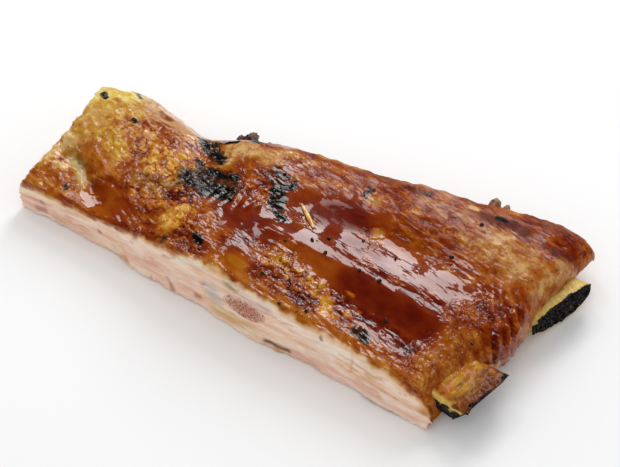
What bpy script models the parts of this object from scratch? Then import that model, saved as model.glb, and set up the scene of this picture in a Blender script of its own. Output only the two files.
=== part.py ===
"""A two-rib portion of a roasted, glazed rack of pork ribs, lying bone side down.

The meat is a slab whose plan has a straight knife cut along the front and a lobed right end. Two ribs run
through it: the far one from end to end, the near one from the right end to the front cut, which slices it.
Lengths are in millimetres and are turned into metres at the end. X runs along the ribs, Y from the front cut
to the back edge, Z up. Plan positions are measured from the slab's front left corner.
"""

import math

import bmesh
import bpy
import numpy as np
from mathutils import Matrix, Vector

MM = 0.001
GAP = 0.3  # clearance between a rib and the meat round it
PLAN_CENTRE = (73.17, 35.18)  # the middle of the whole portion's box, in plan

# The slab's plan: its four edges, each a smooth curve through a few places.
FRONT_LENGTH = 139.5
FRONT_CUT = ((1.8, 0.0), (35.0, 1.0), (60.0, 0.1), (82.0, -0.4), (104.0, -0.5), (FRONT_LENGTH, -0.6))
BACK_EDGE = (
    (-5.8, 45.8), (8.0, 50.2), (22.0, 48.0), (34.0, 45.4), (47.0, 50.6), (64.0, 55.7), (88.0, 59.5),
    (112.0, 64.8), (130.0, 70.4), (140.0, 72.2), (147.6, 70.0),
)
LEFT_END = ((1.8, 0.0), (1.4, 8.0), (1.2, 15.0), (0.6, 22.5), (-1.0, 33.0), (-5.8, 45.8))
RIGHT_END = (
    (FRONT_LENGTH, -0.6), (139.6, 5.0), (140.4, 12.0), (142.2, 18.5), (145.6, 25.0), (146.0, 33.0),
    (145.4, 40.0), (146.4, 50.0), (147.4, 57.0), (147.0, 61.5), (147.8, 66.0), (147.6, 70.0),
)

# The slab's thickness along the front cut and along the back, and how far its middle stands above them.
FRONT_HEIGHT = ((0.0, 10.0), (38.0, 12.6), (62.0, 15.4), (84.0, 15.8), (108.0, 14.4), (130.0, 13.0), (141.0, 11.0))
BACK_HEIGHT = ((-6.0, 12.8), (30.0, 12.6), (60.0, 15.0), (100.0, 15.6), (130.0, 14.6), (150.0, 12.6))
CROWN, CROWN_POWER = 2.6, 0.8
TOP_FILLET = {"front": 1.6, "back": 6.0, "left": 2.6, "right": 4.5}
BASE_FILLET = {"front": 0.4, "back": 3.2, "left": 1.2, "right": 3.0}
BULGE = {"back": 0.5, "right": 0.6}
# How far the cut's lower edge stands out in front of its upper edge, along the slab.
LOWER_LIP = (
    (0.0, 0.0), (36.0, 0.3), (44.0, 2.0), (60.0, 1.2), (72.0, 1.2), (86.0, 1.9), (100.0, 0.7), (114.0, 0.6),
    (128.0, 1.2), (141.0, 0.3),
)
LIP_RISE = 1.5  # a higher power keeps the lip nearer the table
LIP_REACH = 8  # and nearer the cut
RIGHT_UNDERCUT = 3.6  # how far the base draws in at the back right corner, none at the front
UNDERCUT_REACH = 6  # a higher power keeps the undercut nearer the right end

# Ridges stand up and hollows sink: each is a soft-sided stroke from one place to another.
# (start, end, half width, height)
RELIEF = (
    ((-4.0, 34.0), (30.0, 34.0), 8.0, 1.3),  # gristle over the far rib at the left end
    ((8.0, 15.5), (27.0, 7.0), 4.0, -2.3),  # the crease that runs in from the left end
    ((27.0, 5.0), (60.0, 4.0), 4.0, -0.8),
    ((42.0, 34.0), (58.0, 22.0), 6.0, -1.6),  # the sunk, burnt place
    ((50.0, 44.0), (62.0, 40.0), 5.0, 1.4),
    ((80.0, 36.0), (112.0, 33.0), 5.5, -1.7),  # the trough between the ribs
    ((84.0, 24.0), (130.0, 25.0), 3.2, 0.7),
    ((104.0, 52.0), (140.0, 51.0), 10.0, 1.5),  # the pad over the far rib
    ((100.0, 15.0), (126.0, 13.0), 5.0, -1.0),
    ((139.0, 1.0), (140.0, 18.0), 4.0, -3.4),  # where the meat has shrunk back on the near rib
    ((147.0, 61.5), (141.0, 61.5), 2.2, -0.9),
)

# The bone side, hollowed where soft meat lies beside the ribs. Below HOLLOW_START it stays flat, to rest on.
BONE_SIDE = (
    ((34.0, 18.5), (141.0, 28.0), 6.0, 1.1),  # between the ribs
    ((8.0, 13.0), (58.0, 12.0), 5.0, 0.8),  # in front of the far rib, at the left end
)
HOLLOW_START = 0.06

SLAB_CELLS = (56, 26, 4)  # along, across and up
EDGE_CROWDING = 0.55  # how strongly the cells crowd towards the slab's rims
EDGE_SAMPLES = 400  # places where an edge's run is measured
ON_RIM = 1e-6  # shares this near to 1 lie on the rim itself
WELD = 1e-5
SHARP_ANGLE = 40.0

# The ribs: (x, y, z of the middle, half width, half thickness, lean) along each, from the right end. The lean
# is how much deeper a rib is under its back edge than in its middle, as a share of its half thickness.
FAR_RIB = (
    (158.0, 49.1, 6.0, 10.9, 4.2, 0.6), (140.0, 47.8, 5.7, 10.3, 4.1, 0.2), (115.0, 45.2, 5.5, 9.2, 4.0, 0.0),
    (75.0, 40.0, 5.2, 8.0, 3.9, 0.0), (34.0, 34.4, 4.8, 7.2, 3.5, 0.0), (-12.0, 25.6, 4.4, 5.0, 3.0, 0.0),
)
NEAR_RIB = (
    (158.0, 10.8, 5.5, 9.2, 4.0, 0.0), (143.0, 10.9, 5.6, 8.5, 4.0, 0.0), (126.0, 11.2, 5.8, 6.9, 3.9, 0.0),
    (107.0, 9.2, 6.7, 5.4, 3.9, 0.0), (94.0, 4.8, 7.6, 4.5, 3.8, 0.0), (81.5, -1.4, 8.2, 4.2, 3.8, 0.0),
    (71.0, -7.6, 8.4, 4.2, 3.8, 0.0),
)
TOP_LEAN = 0.25  # the share of the lean that also lifts the back of a rib's upper face
UPPER_POWER, LOWER_POWER = 4.2, 1.8  # of a rib's section: 2 is an ellipse, more is flatter
RIB_SIDES = 20
RIB_LENGTHS = 30

# Saw cuts: a point of the cut and the direction of the waste that comes off.
FAR_RIGHT_CUT = ((149.4, 48.0, 5.0), (0.973, -0.232, 0.0))
FAR_LEFT_CUT = ((-2.4, 26.8, 5.0), (-0.97, 0.20, 0.0))
NEAR_RIGHT_CUT = ((149.0, 10.0, 9.5), (0.80, -0.12, -0.59))
NEAR_FRONT_CUT = ((82.0, -0.95, 8.0), (0.0, -1.0, 0.1))

COLOURS = {
    "meat": ((0.42, 0.13, 0.035), 0.25),
    "rib_far": ((0.55, 0.40, 0.16), 0.55),
    "rib_near": ((0.58, 0.42, 0.16), 0.55),
}


def smooth_curve(knots: tuple, t: np.ndarray) -> np.ndarray:
    """Values of a smooth curve through knots of equal size, at t from 0 to 1 in equal steps of the knots."""
    points = np.array(knots, float)
    last = len(points) - 1
    slopes = np.gradient(points, axis=0)
    place = np.clip(np.asarray(t, float), 0.0, 1.0) * last
    i = np.minimum(place.astype(int), last - 1)
    s = (place - i)[..., None]
    a, b = points[i], points[i + 1]
    ease = s * s * (3.0 - 2.0 * s)
    return a + (b - a) * ease + slopes[i] * s * (1.0 - s) ** 2 - slopes[i + 1] * s * s * (1.0 - s)


def along_edge(knots: tuple, t: np.ndarray) -> np.ndarray:
    """Plan points of an edge at equal shares t of its length."""
    fine = np.linspace(0.0, 1.0, EDGE_SAMPLES)
    line = smooth_curve(knots, fine)
    run = np.concatenate([[0.0], np.cumsum(np.linalg.norm(np.diff(line, axis=0), axis=1))])
    where = np.interp(np.asarray(t, float) * run[-1], run, fine)
    return smooth_curve(knots, where)


def height_along(knots: tuple, x: np.ndarray) -> np.ndarray:
    """A height that passes smoothly through (x, height) knots."""
    table = np.array(knots, float)
    share = np.interp(x, table[:, 0], np.linspace(0.0, 1.0, len(table)))
    return smooth_curve(knots, share)[..., 1]


def plan_of(u: np.ndarray, v: np.ndarray) -> np.ndarray:
    """Plan point at share u of the length and v of the width, between the slab's four edges."""
    front, back = along_edge(FRONT_CUT, u), along_edge(BACK_EDGE, u)
    left, right = along_edge(LEFT_END, v), along_edge(RIGHT_END, v)
    u, v = u[..., None], v[..., None]
    corners = (
        (1 - u) * (1 - v) * np.array(FRONT_CUT[0]) + u * (1 - v) * np.array(FRONT_CUT[-1])
        + (1 - u) * v * np.array(BACK_EDGE[0]) + u * v * np.array(BACK_EDGE[-1])
    )
    return (1 - v) * front + v * back + (1 - u) * left + u * right - corners


def stroke(plan: np.ndarray, start: tuple, end: tuple, half_width: float) -> np.ndarray:
    """1 on the line from start to end, falling softly to 0 away from it."""
    a, b = np.array(start), np.array(end)
    t = np.clip(((plan - a) @ (b - a)) / ((b - a) @ (b - a)), 0.0, 1.0)
    away = np.linalg.norm(plan - a - t[..., None] * (b - a), axis=-1)
    return np.exp(-((away / half_width) ** 2))


def relief(plan: np.ndarray, strokes: tuple) -> np.ndarray:
    """The height that a set of strokes adds at each plan point."""
    return sum(rise * stroke(plan, start, end, half_width) for start, end, half_width, rise in strokes)


def top_height(plan: np.ndarray, v: np.ndarray) -> np.ndarray:
    """Height of the slab's upper face, before its rims are rounded."""
    front, back = height_along(FRONT_HEIGHT, plan[..., 0]), height_along(BACK_HEIGHT, plan[..., 0])
    crown = CROWN * np.clip(np.sin(math.pi * v), 0.0, 1.0) ** CROWN_POWER
    return (1 - v) * front + v * back + crown + relief(plan, RELIEF)


def fillet(distance: np.ndarray, radius: float) -> np.ndarray:
    """How far a face has turned away at a distance in from its rim."""
    short = np.clip(radius - distance, 0.0, radius)
    return radius - np.sqrt(radius * radius - short * short)


def rim_turn(u: np.ndarray, v: np.ndarray, length: float, width: np.ndarray, radii: dict) -> np.ndarray:
    """The drop or lift of a face near the slab's rims."""
    turns = (
        fillet(v * width, radii["front"]), fillet((1 - v) * width, radii["back"]),
        fillet(u * length, radii["left"]), fillet((1 - u) * length, radii["right"]),
    )
    return np.sqrt(sum(turn**2 for turn in turns))


def meat_points(box: np.ndarray) -> np.ndarray:
    """Moves points of a unit box onto the slab of meat."""
    u, v, w = box[:, 0], box[:, 1], box[:, 2]
    plan = plan_of(u, v)
    width = np.linalg.norm(along_edge(BACK_EDGE, u) - along_edge(FRONT_CUT, u), axis=1)
    top = top_height(plan, v) - rim_turn(u, v, FRONT_LENGTH, width, TOP_FILLET)
    hollow = np.maximum(relief(plan, BONE_SIDE) - HOLLOW_START, 0.0)
    base = rim_turn(u, v, FRONT_LENGTH, width, BASE_FILLET) + hollow
    belly = 4.0 * w * (1.0 - w)
    plan[:, 0] += np.where(u > 1 - ON_RIM, BULGE["right"], 0.0) * belly
    plan[:, 1] += np.where(v > 1 - ON_RIM, BULGE["back"], 0.0) * belly
    plan[:, 1] -= height_along(LOWER_LIP, plan[:, 0]) * (1.0 - w) ** LIP_RISE * (1.0 - v) ** LIP_REACH
    plan[:, 0] -= RIGHT_UNDERCUT * v**2 * u**UNDERCUT_REACH * (1.0 - w)
    return np.column_stack([plan, base + w * (top - base)])


def crowd(t: np.ndarray) -> np.ndarray:
    """Shares from 0 to 1 drawn towards both ends."""
    return t - EDGE_CROWDING * np.sin(2.0 * math.pi * t) / (2.0 * math.pi)


def grid_box(name: str, cells: tuple) -> bpy.types.Object:
    """A unit box from 0 to 1 whose six faces are grids of cells."""
    mesh_data = bmesh.new()
    half = 0.5
    # Each face: cells along its own x and y, and the turn that carries a flat grid to that side of the box.
    faces = (
        (cells[0], cells[1], Matrix.Identity(4)),
        (cells[0], cells[1], Matrix.Rotation(math.pi, 4, "X")),
        (cells[0], cells[2], Matrix.Rotation(math.pi / 2, 4, "X")),
        (cells[0], cells[2], Matrix.Rotation(-math.pi / 2, 4, "X")),
        (cells[2], cells[1], Matrix.Rotation(math.pi / 2, 4, "Y")),
        (cells[2], cells[1], Matrix.Rotation(-math.pi / 2, 4, "Y")),
    )
    centre = Matrix.Translation((half, half, half))
    for along, across, turn in faces:
        place = centre @ turn @ Matrix.Translation((0.0, 0.0, half))
        bmesh.ops.create_grid(mesh_data, x_segments=along, y_segments=across, size=half, matrix=place)
    bmesh.ops.remove_doubles(mesh_data, verts=mesh_data.verts, dist=WELD)
    bmesh.ops.recalc_face_normals(mesh_data, faces=mesh_data.faces)
    return object_from(name, mesh_data)


def object_from(name: str, mesh_data: bmesh.types.BMesh) -> bpy.types.Object:
    """A scene object that holds the finished mesh."""
    mesh = bpy.data.meshes.new(name)
    mesh_data.to_mesh(mesh)
    mesh_data.free()
    made = bpy.data.objects.new(name, mesh)
    bpy.context.scene.collection.objects.link(made)
    return made


def place_points(made: bpy.types.Object, points: np.ndarray) -> None:
    """Sets an object's vertices from plan millimetres, with the portion's middle at the origin."""
    shifted = (points - np.array([*PLAN_CENTRE, 0.0])) * MM
    made.data.vertices.foreach_set("co", shifted.astype(np.float32).ravel())
    made.data.update()


def vertex_array(made: bpy.types.Object) -> np.ndarray:
    """An object's vertices as an array."""
    found = np.zeros(len(made.data.vertices) * 3, np.float32)
    made.data.vertices.foreach_get("co", found)
    return found.reshape(-1, 3).astype(float)


def make_slab() -> bpy.types.Object:
    """The whole slab of meat, before the ribs' channels are cut."""
    slab = grid_box("meat", SLAB_CELLS)
    box = vertex_array(slab)
    box[:, :2] = crowd(box[:, :2])
    place_points(slab, meat_points(box))
    return slab


def make_rod(name: str, stations: tuple, grow: float) -> bpy.types.Object:
    """A rib's full rod, its squarish oval sections set along its path, thicker all round by grow."""
    mesh_data = bmesh.new()
    bmesh.ops.create_cone(
        mesh_data, cap_ends=True, segments=RIB_SIDES, radius1=1.0, radius2=1.0, depth=2.0,
    )
    rims = [edge for edge in mesh_data.edges if abs(edge.verts[0].co.z - edge.verts[1].co.z) > 1.0]
    bmesh.ops.subdivide_edges(mesh_data, edges=rims, cuts=RIB_LENGTHS - 1, use_grid_fill=True)
    rod = object_from(name, mesh_data)
    unit = vertex_array(rod)
    share = (unit[:, 2] + 1.0) / 2.0
    angle = np.arctan2(unit[:, 1], unit[:, 0])
    path = smooth_curve(stations, share)
    step = 1e-3
    ahead = smooth_curve(stations, share + step)[:, :2] - smooth_curve(stations, share - step)[:, :2]
    ahead /= np.linalg.norm(ahead, axis=1)[:, None]
    across = np.column_stack([ahead[:, 1], -ahead[:, 0]])
    power = 2.0 / np.where(angle > 0.0, UPPER_POWER, LOWER_POWER)
    side = np.sign(np.cos(angle)) * np.abs(np.cos(angle)) ** power * (path[:, 3] + grow)
    rise = np.sign(np.sin(angle)) * np.abs(np.sin(angle)) ** power * (path[:, 4] + grow)
    rise *= 1.0 + path[:, 5] * np.cos(angle) * np.where(angle > 0.0, TOP_LEAN, 1.0)
    points = np.column_stack([path[:, :2] + across * side[:, None], path[:, 2] + rise])
    place_points(rod, points)
    outward_normals(rod)
    return rod


def outward_normals(made: bpy.types.Object) -> None:
    """Turns every face of a closed object outwards."""
    mesh_data = bmesh.new()
    mesh_data.from_mesh(made.data)
    bmesh.ops.recalc_face_normals(mesh_data, faces=mesh_data.faces)
    mesh_data.to_mesh(made.data)
    mesh_data.free()


def saw(made: bpy.types.Object, point: tuple, waste: tuple) -> None:
    """Cuts an object flat through point, and drops what lies on the waste side."""
    mesh_data = bmesh.new()
    mesh_data.from_mesh(made.data)
    at = (Vector(point) - Vector((*PLAN_CENTRE, 0.0))) * MM
    geometry = mesh_data.verts[:] + mesh_data.edges[:] + mesh_data.faces[:]
    cut = bmesh.ops.bisect_plane(
        mesh_data, geom=geometry, dist=1e-7, plane_co=at, plane_no=Vector(waste).normalized(), clear_outer=True,
    )
    rim = [item for item in cut["geom_cut"] if isinstance(item, bmesh.types.BMEdge)]
    bmesh.ops.edgenet_fill(mesh_data, edges=rim)
    bmesh.ops.recalc_face_normals(mesh_data, faces=mesh_data.faces)
    mesh_data.to_mesh(made.data)
    mesh_data.free()


def make_rib(name: str, stations: tuple, cuts: tuple) -> bpy.types.Object:
    """One rib, sawn or sliced at both its ends."""
    rib = make_rod(name, stations, 0.0)
    for point, waste in cuts:
        saw(rib, point, waste)
    return rib


def cut_channel(slab: bpy.types.Object, stations: tuple, cutters: bpy.types.Collection) -> None:
    """Cuts a rib's channel through the meat, a gap wider than the rib."""
    cutter = make_rod("channel", stations, GAP)
    move_to(cutter, cutters)
    cutter.hide_render = True
    cutter.display_type = "WIRE"
    channel = slab.modifiers.new("channel", "BOOLEAN")
    channel.operation = "DIFFERENCE"
    channel.object = cutter


def move_to(made: bpy.types.Object, collection: bpy.types.Collection) -> None:
    """Puts an object in one collection alone."""
    for held_by in list(made.users_collection):
        held_by.objects.unlink(made)
    collection.objects.link(made)


def finish(made: bpy.types.Object, collection: bpy.types.Collection) -> None:
    """Shades a piece smooth, gives it its material and puts it in the model's collection."""
    colour, roughness = COLOURS[made.name]
    material = bpy.data.materials.new(made.name)
    material.use_nodes = True
    shader = material.node_tree.nodes["Principled BSDF"]
    shader.inputs["Base Color"].default_value = (*colour, 1.0)
    shader.inputs["Roughness"].default_value = roughness
    shader.inputs["Metallic"].default_value = 0.0
    made.data.materials.append(material)
    made.data.shade_smooth()
    made.data.set_sharp_from_angle(angle=math.radians(SHARP_ANGLE))
    move_to(made, collection)


def build() -> None:
    """Makes the portion: the meat and its two ribs."""
    for old in list(bpy.data.objects):
        bpy.data.objects.remove(old)
    model = bpy.data.collections.new("rack_of_ribs")
    cutters = bpy.data.collections.new("cutters")
    for collection in (model, cutters):
        bpy.context.scene.collection.children.link(collection)
    slab = make_slab()
    cut_channel(slab, FAR_RIB, cutters)
    cut_channel(slab, NEAR_RIB, cutters)
    far = make_rib("rib_far", FAR_RIB, (FAR_RIGHT_CUT, FAR_LEFT_CUT))
    near = make_rib("rib_near", NEAR_RIB, (NEAR_RIGHT_CUT, NEAR_FRONT_CUT))
    for made in (slab, far, near):
        finish(made, model)


build()
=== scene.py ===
"""Dresses a two-rib portion of roasted, glazed pork ribs: the meat with its glaze and knife cut, the two
ribs,
and the pepper, crumbs and shreds that stick to it.

Lengths in the classes are millimetres in the slab's own plan: X runs along the ribs, Y from the front cut to
the back edge, Z up, measured from the slab's front left corner. to_metres() moves them round the origin.
"""

import itertools
import logging
import math
from dataclasses import dataclass
from enum import Enum

import bpy
import numpy as np
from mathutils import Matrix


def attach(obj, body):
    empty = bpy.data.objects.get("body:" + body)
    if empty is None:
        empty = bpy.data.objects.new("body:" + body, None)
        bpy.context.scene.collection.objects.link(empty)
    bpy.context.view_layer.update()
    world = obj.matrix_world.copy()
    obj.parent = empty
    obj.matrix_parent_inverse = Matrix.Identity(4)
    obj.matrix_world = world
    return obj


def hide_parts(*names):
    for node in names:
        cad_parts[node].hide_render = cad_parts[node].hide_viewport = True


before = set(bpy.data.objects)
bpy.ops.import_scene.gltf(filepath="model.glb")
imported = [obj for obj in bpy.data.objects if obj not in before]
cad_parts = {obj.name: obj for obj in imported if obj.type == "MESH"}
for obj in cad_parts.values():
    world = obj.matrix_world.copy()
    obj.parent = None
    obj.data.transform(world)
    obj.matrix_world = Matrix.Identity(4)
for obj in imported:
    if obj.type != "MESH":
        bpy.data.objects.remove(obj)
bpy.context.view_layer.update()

MM = 0.001
PLAN_CENTRE = (73.17, 35.18)  # the middle of the portion's box, in plan
BODY = "root"

log = logging.getLogger("ribs")

Strokes = tuple[tuple[tuple[float, float], tuple[float, float], float, float], ...]
Knots = tuple[tuple[float, ...], ...]
Colour = tuple[float, float, float]


class Slot(Enum):
    """The record's material slots."""

    MEAT = "meat"
    BONE = "bone"


class Side(Enum):
    """The faces of the slab's box: which of its three shares is fixed, and at what."""

    LEFT = (0, 0.0)
    RIGHT = (0, 1.0)
    FRONT = (1, 0.0)
    BACK = (1, 1.0)
    UNDER = (2, 0.0)
    TOP = (2, 1.0)


# ---------------------------------------------------------------------------------------------------------
# Numbers: curves, soft strokes and grain
# ---------------------------------------------------------------------------------------------------------


def paint(red: float, green: float, blue: float) -> Colour:
    """A linear colour from the 0 to 255 values of a paint chart."""
    chart = np.array((red, green, blue)) / 255.0
    linear = np.where(chart <= 0.04045, chart / 12.92, ((chart + 0.055) / 1.055) ** 2.4)
    return tuple(float(value) for value in linear)


def ease(value: np.ndarray, low: float, high: float) -> np.ndarray:
    """A smooth step from 0 at low to 1 at high."""
    share = np.clip((value - low) / (high - low), 0.0, 1.0)
    return share * share * (3.0 - 2.0 * share)


def blend(first: np.ndarray, second: np.ndarray, share: np.ndarray) -> np.ndarray:
    """Mixes two fields, with second shown where share is 1."""
    return first + (second - first) * share


def smooth_curve(knots: Knots, t: np.ndarray) -> np.ndarray:
    """Values of a smooth curve through knots of equal size.

    Args:
        knots: the values that the curve passes through, in equal steps of t.
        t: where to read the curve, from 0 to 1.

    Returns:
        One row for each t.
    """
    points = np.array(knots, float)
    last = len(points) - 1
    slopes = np.gradient(points, axis=0)
    place = np.clip(np.asarray(t, float), 0.0, 1.0) * last
    i = np.minimum(place.astype(int), last - 1)
    s = (place - i)[..., None]
    a, b = points[i], points[i + 1]
    turn = s * s * (3.0 - 2.0 * s)
    return a + (b - a) * turn + slopes[i] * s * (1.0 - s) ** 2 - slopes[i + 1] * s * s * (1.0 - s)


def along_edge(knots: Knots, t: np.ndarray) -> np.ndarray:
    """Plan points of an edge at equal shares t of its length."""
    fine = np.linspace(0.0, 1.0, 400)
    line = smooth_curve(knots, fine)
    run = np.concatenate([[0.0], np.cumsum(np.linalg.norm(np.diff(line, axis=0), axis=1))])
    return smooth_curve(knots, np.interp(np.asarray(t, float) * run[-1], run, fine))


def height_along(knots: Knots, x: np.ndarray) -> np.ndarray:
    """A height that passes smoothly through (x, height) knots."""
    table = np.array(knots, float)
    share = np.interp(x, table[:, 0], np.linspace(0.0, 1.0, len(table)))
    return smooth_curve(knots, share)[..., 1]


def distance_to(plan: np.ndarray, start: tuple[float, float], end: tuple[float, float]) -> np.ndarray:
    """How far each plan point lies from the line between two places."""
    a, b = np.array(start, float), np.array(end, float)
    reach = max(float((b - a) @ (b - a)), 1e-9)
    t = np.clip(((plan - a) @ (b - a)) / reach, 0.0, 1.0)
    return np.linalg.norm(plan - a - t[..., None] * (b - a), axis=-1)


def relief(plan: np.ndarray, strokes: Strokes) -> np.ndarray:
    """The height that soft-sided strokes add: (start, end, half width, height) each."""
    total = np.zeros(plan.shape[:-1])
    for start, end, half_width, rise in strokes:
        total += rise * np.exp(-((distance_to(plan, start, end) / half_width) ** 2))
    return total


def cover(plan: np.ndarray, strokes: Strokes, edge: float = 0.35) -> np.ndarray:
    """How strongly a set of patches covers each plan point.

    Args:
        plan: the points.
        strokes: (start, end, half width, strength) each.
        edge: how soft a patch's border is, as a share of its half width.

    Returns:
        The strongest patch's strength at each point.
    """
    total = np.zeros(plan.shape[:-1])
    for start, end, half_width, strength in strokes:
        away = distance_to(plan, start, end) / half_width
        total = np.maximum(total, strength * (1.0 - ease(away, 1.0 - edge, 1.0 + edge)))
    return total


class Grain:
    """Smooth random values in space, the same on every run."""

    def __init__(self, seed: int) -> None:
        """Sets the random slopes up from a seed."""
        shuffle = np.random.default_rng(seed)
        self.order = np.tile(shuffle.permutation(256), 2)
        slopes = shuffle.normal(size=(256, 3))
        self.slopes = slopes / np.linalg.norm(slopes, axis=1)[:, None]

    def at(self, points: np.ndarray, size: float | tuple[float, float, float]) -> np.ndarray:
        """Reads the grain.

        Args:
            points: where, in millimetres.
            size: how many millimetres a swing takes, the same in all directions or one for each axis.

        Returns:
            Values from about -1 to 1.
        """
        scaled = points / np.asarray(size, float)
        cell = np.floor(scaled).astype(int)
        part = scaled - cell
        turn = part**3 * (part * (part * 6.0 - 15.0) + 10.0)
        total = np.zeros(len(points))
        for corner in itertools.product((0, 1), repeat=3):
            k = (cell + corner) & 255
            pick = self.order[self.order[self.order[k[:, 0]] + k[:, 1]] + k[:, 2]]
            weight = np.prod(np.where(corner, turn, 1.0 - turn), axis=1)
            total += ((part - corner) * self.slopes[pick]).sum(axis=1) * weight
        return total * 1.7

    def rough(self, points: np.ndarray, size: float, octaves: int = 3) -> np.ndarray:
        """Grain with finer and finer grain laid over it, from about -1 to 1."""
        total, strength, whole = np.zeros(len(points)), 1.0, 0.0
        for octave in range(octaves):
            total += strength * self.at(points + 17.3 * octave, size / 2**octave)
            whole += strength
            strength *= 0.5
        return total / whole * 1.3

    def ridges(self, points: np.ndarray, size: float | tuple[float, float, float]) -> np.ndarray:
        """Narrow crests with wide hollows between them, from 0 to 1."""
        return (1.0 - np.abs(self.at(points, size))) ** 3


def turned(points: np.ndarray, degrees: float) -> np.ndarray:
    """Points seen from a frame whose X lies at an angle to the slab's, so that grain can run that way."""
    angle = math.radians(degrees)
    along = points[:, 0] * math.cos(angle) + points[:, 1] * math.sin(angle)
    across = -points[:, 0] * math.sin(angle) + points[:, 1] * math.cos(angle)
    return np.column_stack([along, across, points[:, 2]])


def to_metres(points: np.ndarray) -> np.ndarray:
    """Plan millimetres as metres round the portion's middle."""
    return (points - np.array([*PLAN_CENTRE, 0.0])) * MM


# ---------------------------------------------------------------------------------------------------------
# Meshes and materials
# ---------------------------------------------------------------------------------------------------------


def make_mesh(name: str, points: np.ndarray, faces: list) -> bpy.types.Object:
    """Makes a smooth-shaded object from plan millimetres.

    Args:
        name: the piece's name.
        points: its vertices, in plan millimetres.
        faces: vertex numbers of each face, anticlockwise from outside.

    Returns:
        The new object, linked to the scene.
    """
    mesh = bpy.data.meshes.new(name)
    mesh.from_pydata(to_metres(points).tolist(), [], faces)
    mesh.update()
    mesh.shade_smooth()
    made = bpy.data.objects.new(name, mesh)
    bpy.context.scene.collection.objects.link(made)
    return made


def normals_of(made: bpy.types.Object) -> np.ndarray:
    """The outward direction at each vertex."""
    found = np.zeros(len(made.data.vertices) * 3, np.float32)
    made.data.vertex_normals.foreach_get("vector", found)
    return found.reshape(-1, 3).astype(float)


def set_points(made: bpy.types.Object, points: np.ndarray) -> None:
    """Moves an object's vertices to new plan millimetres."""
    made.data.vertices.foreach_set("co", to_metres(points).astype(np.float32).ravel())
    made.data.update()


def add_value(made: bpy.types.Object, name: str, values: np.ndarray) -> None:
    """Stores one number for each vertex, for a material to read."""
    layer = made.data.attributes.new(name, "FLOAT", "POINT")
    layer.data.foreach_set("value", np.asarray(values, np.float32))


def add_colour(made: bpy.types.Object, name: str, colours: np.ndarray) -> None:
    """Stores one linear colour for each vertex, for a material to read."""
    layer = made.data.attributes.new(name, "FLOAT_COLOR", "POINT")
    full = np.column_stack([colours, np.ones(len(colours))]).astype(np.float32)
    layer.data.foreach_set("color", full.ravel())


def declare(made: bpy.types.Object, slot: Slot, *nodes: str) -> None:
    """Tells the frame what a finished piece is, and logs it.

    Args:
        made: the piece.
        slot: the finish slot, which is only named in the log.
        nodes: the CAD nodes that it stands for, if any.
    """
    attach(made, BODY)
    if nodes:
        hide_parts(*nodes)
    faces = sum(len(face.vertices) - 2 for face in made.data.polygons)
    log.info("%s: %d triangles, slot %s, stands for %s", made.name, faces, slot.value, nodes or "nothing")


Socket = bpy.types.NodeSocket


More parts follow.
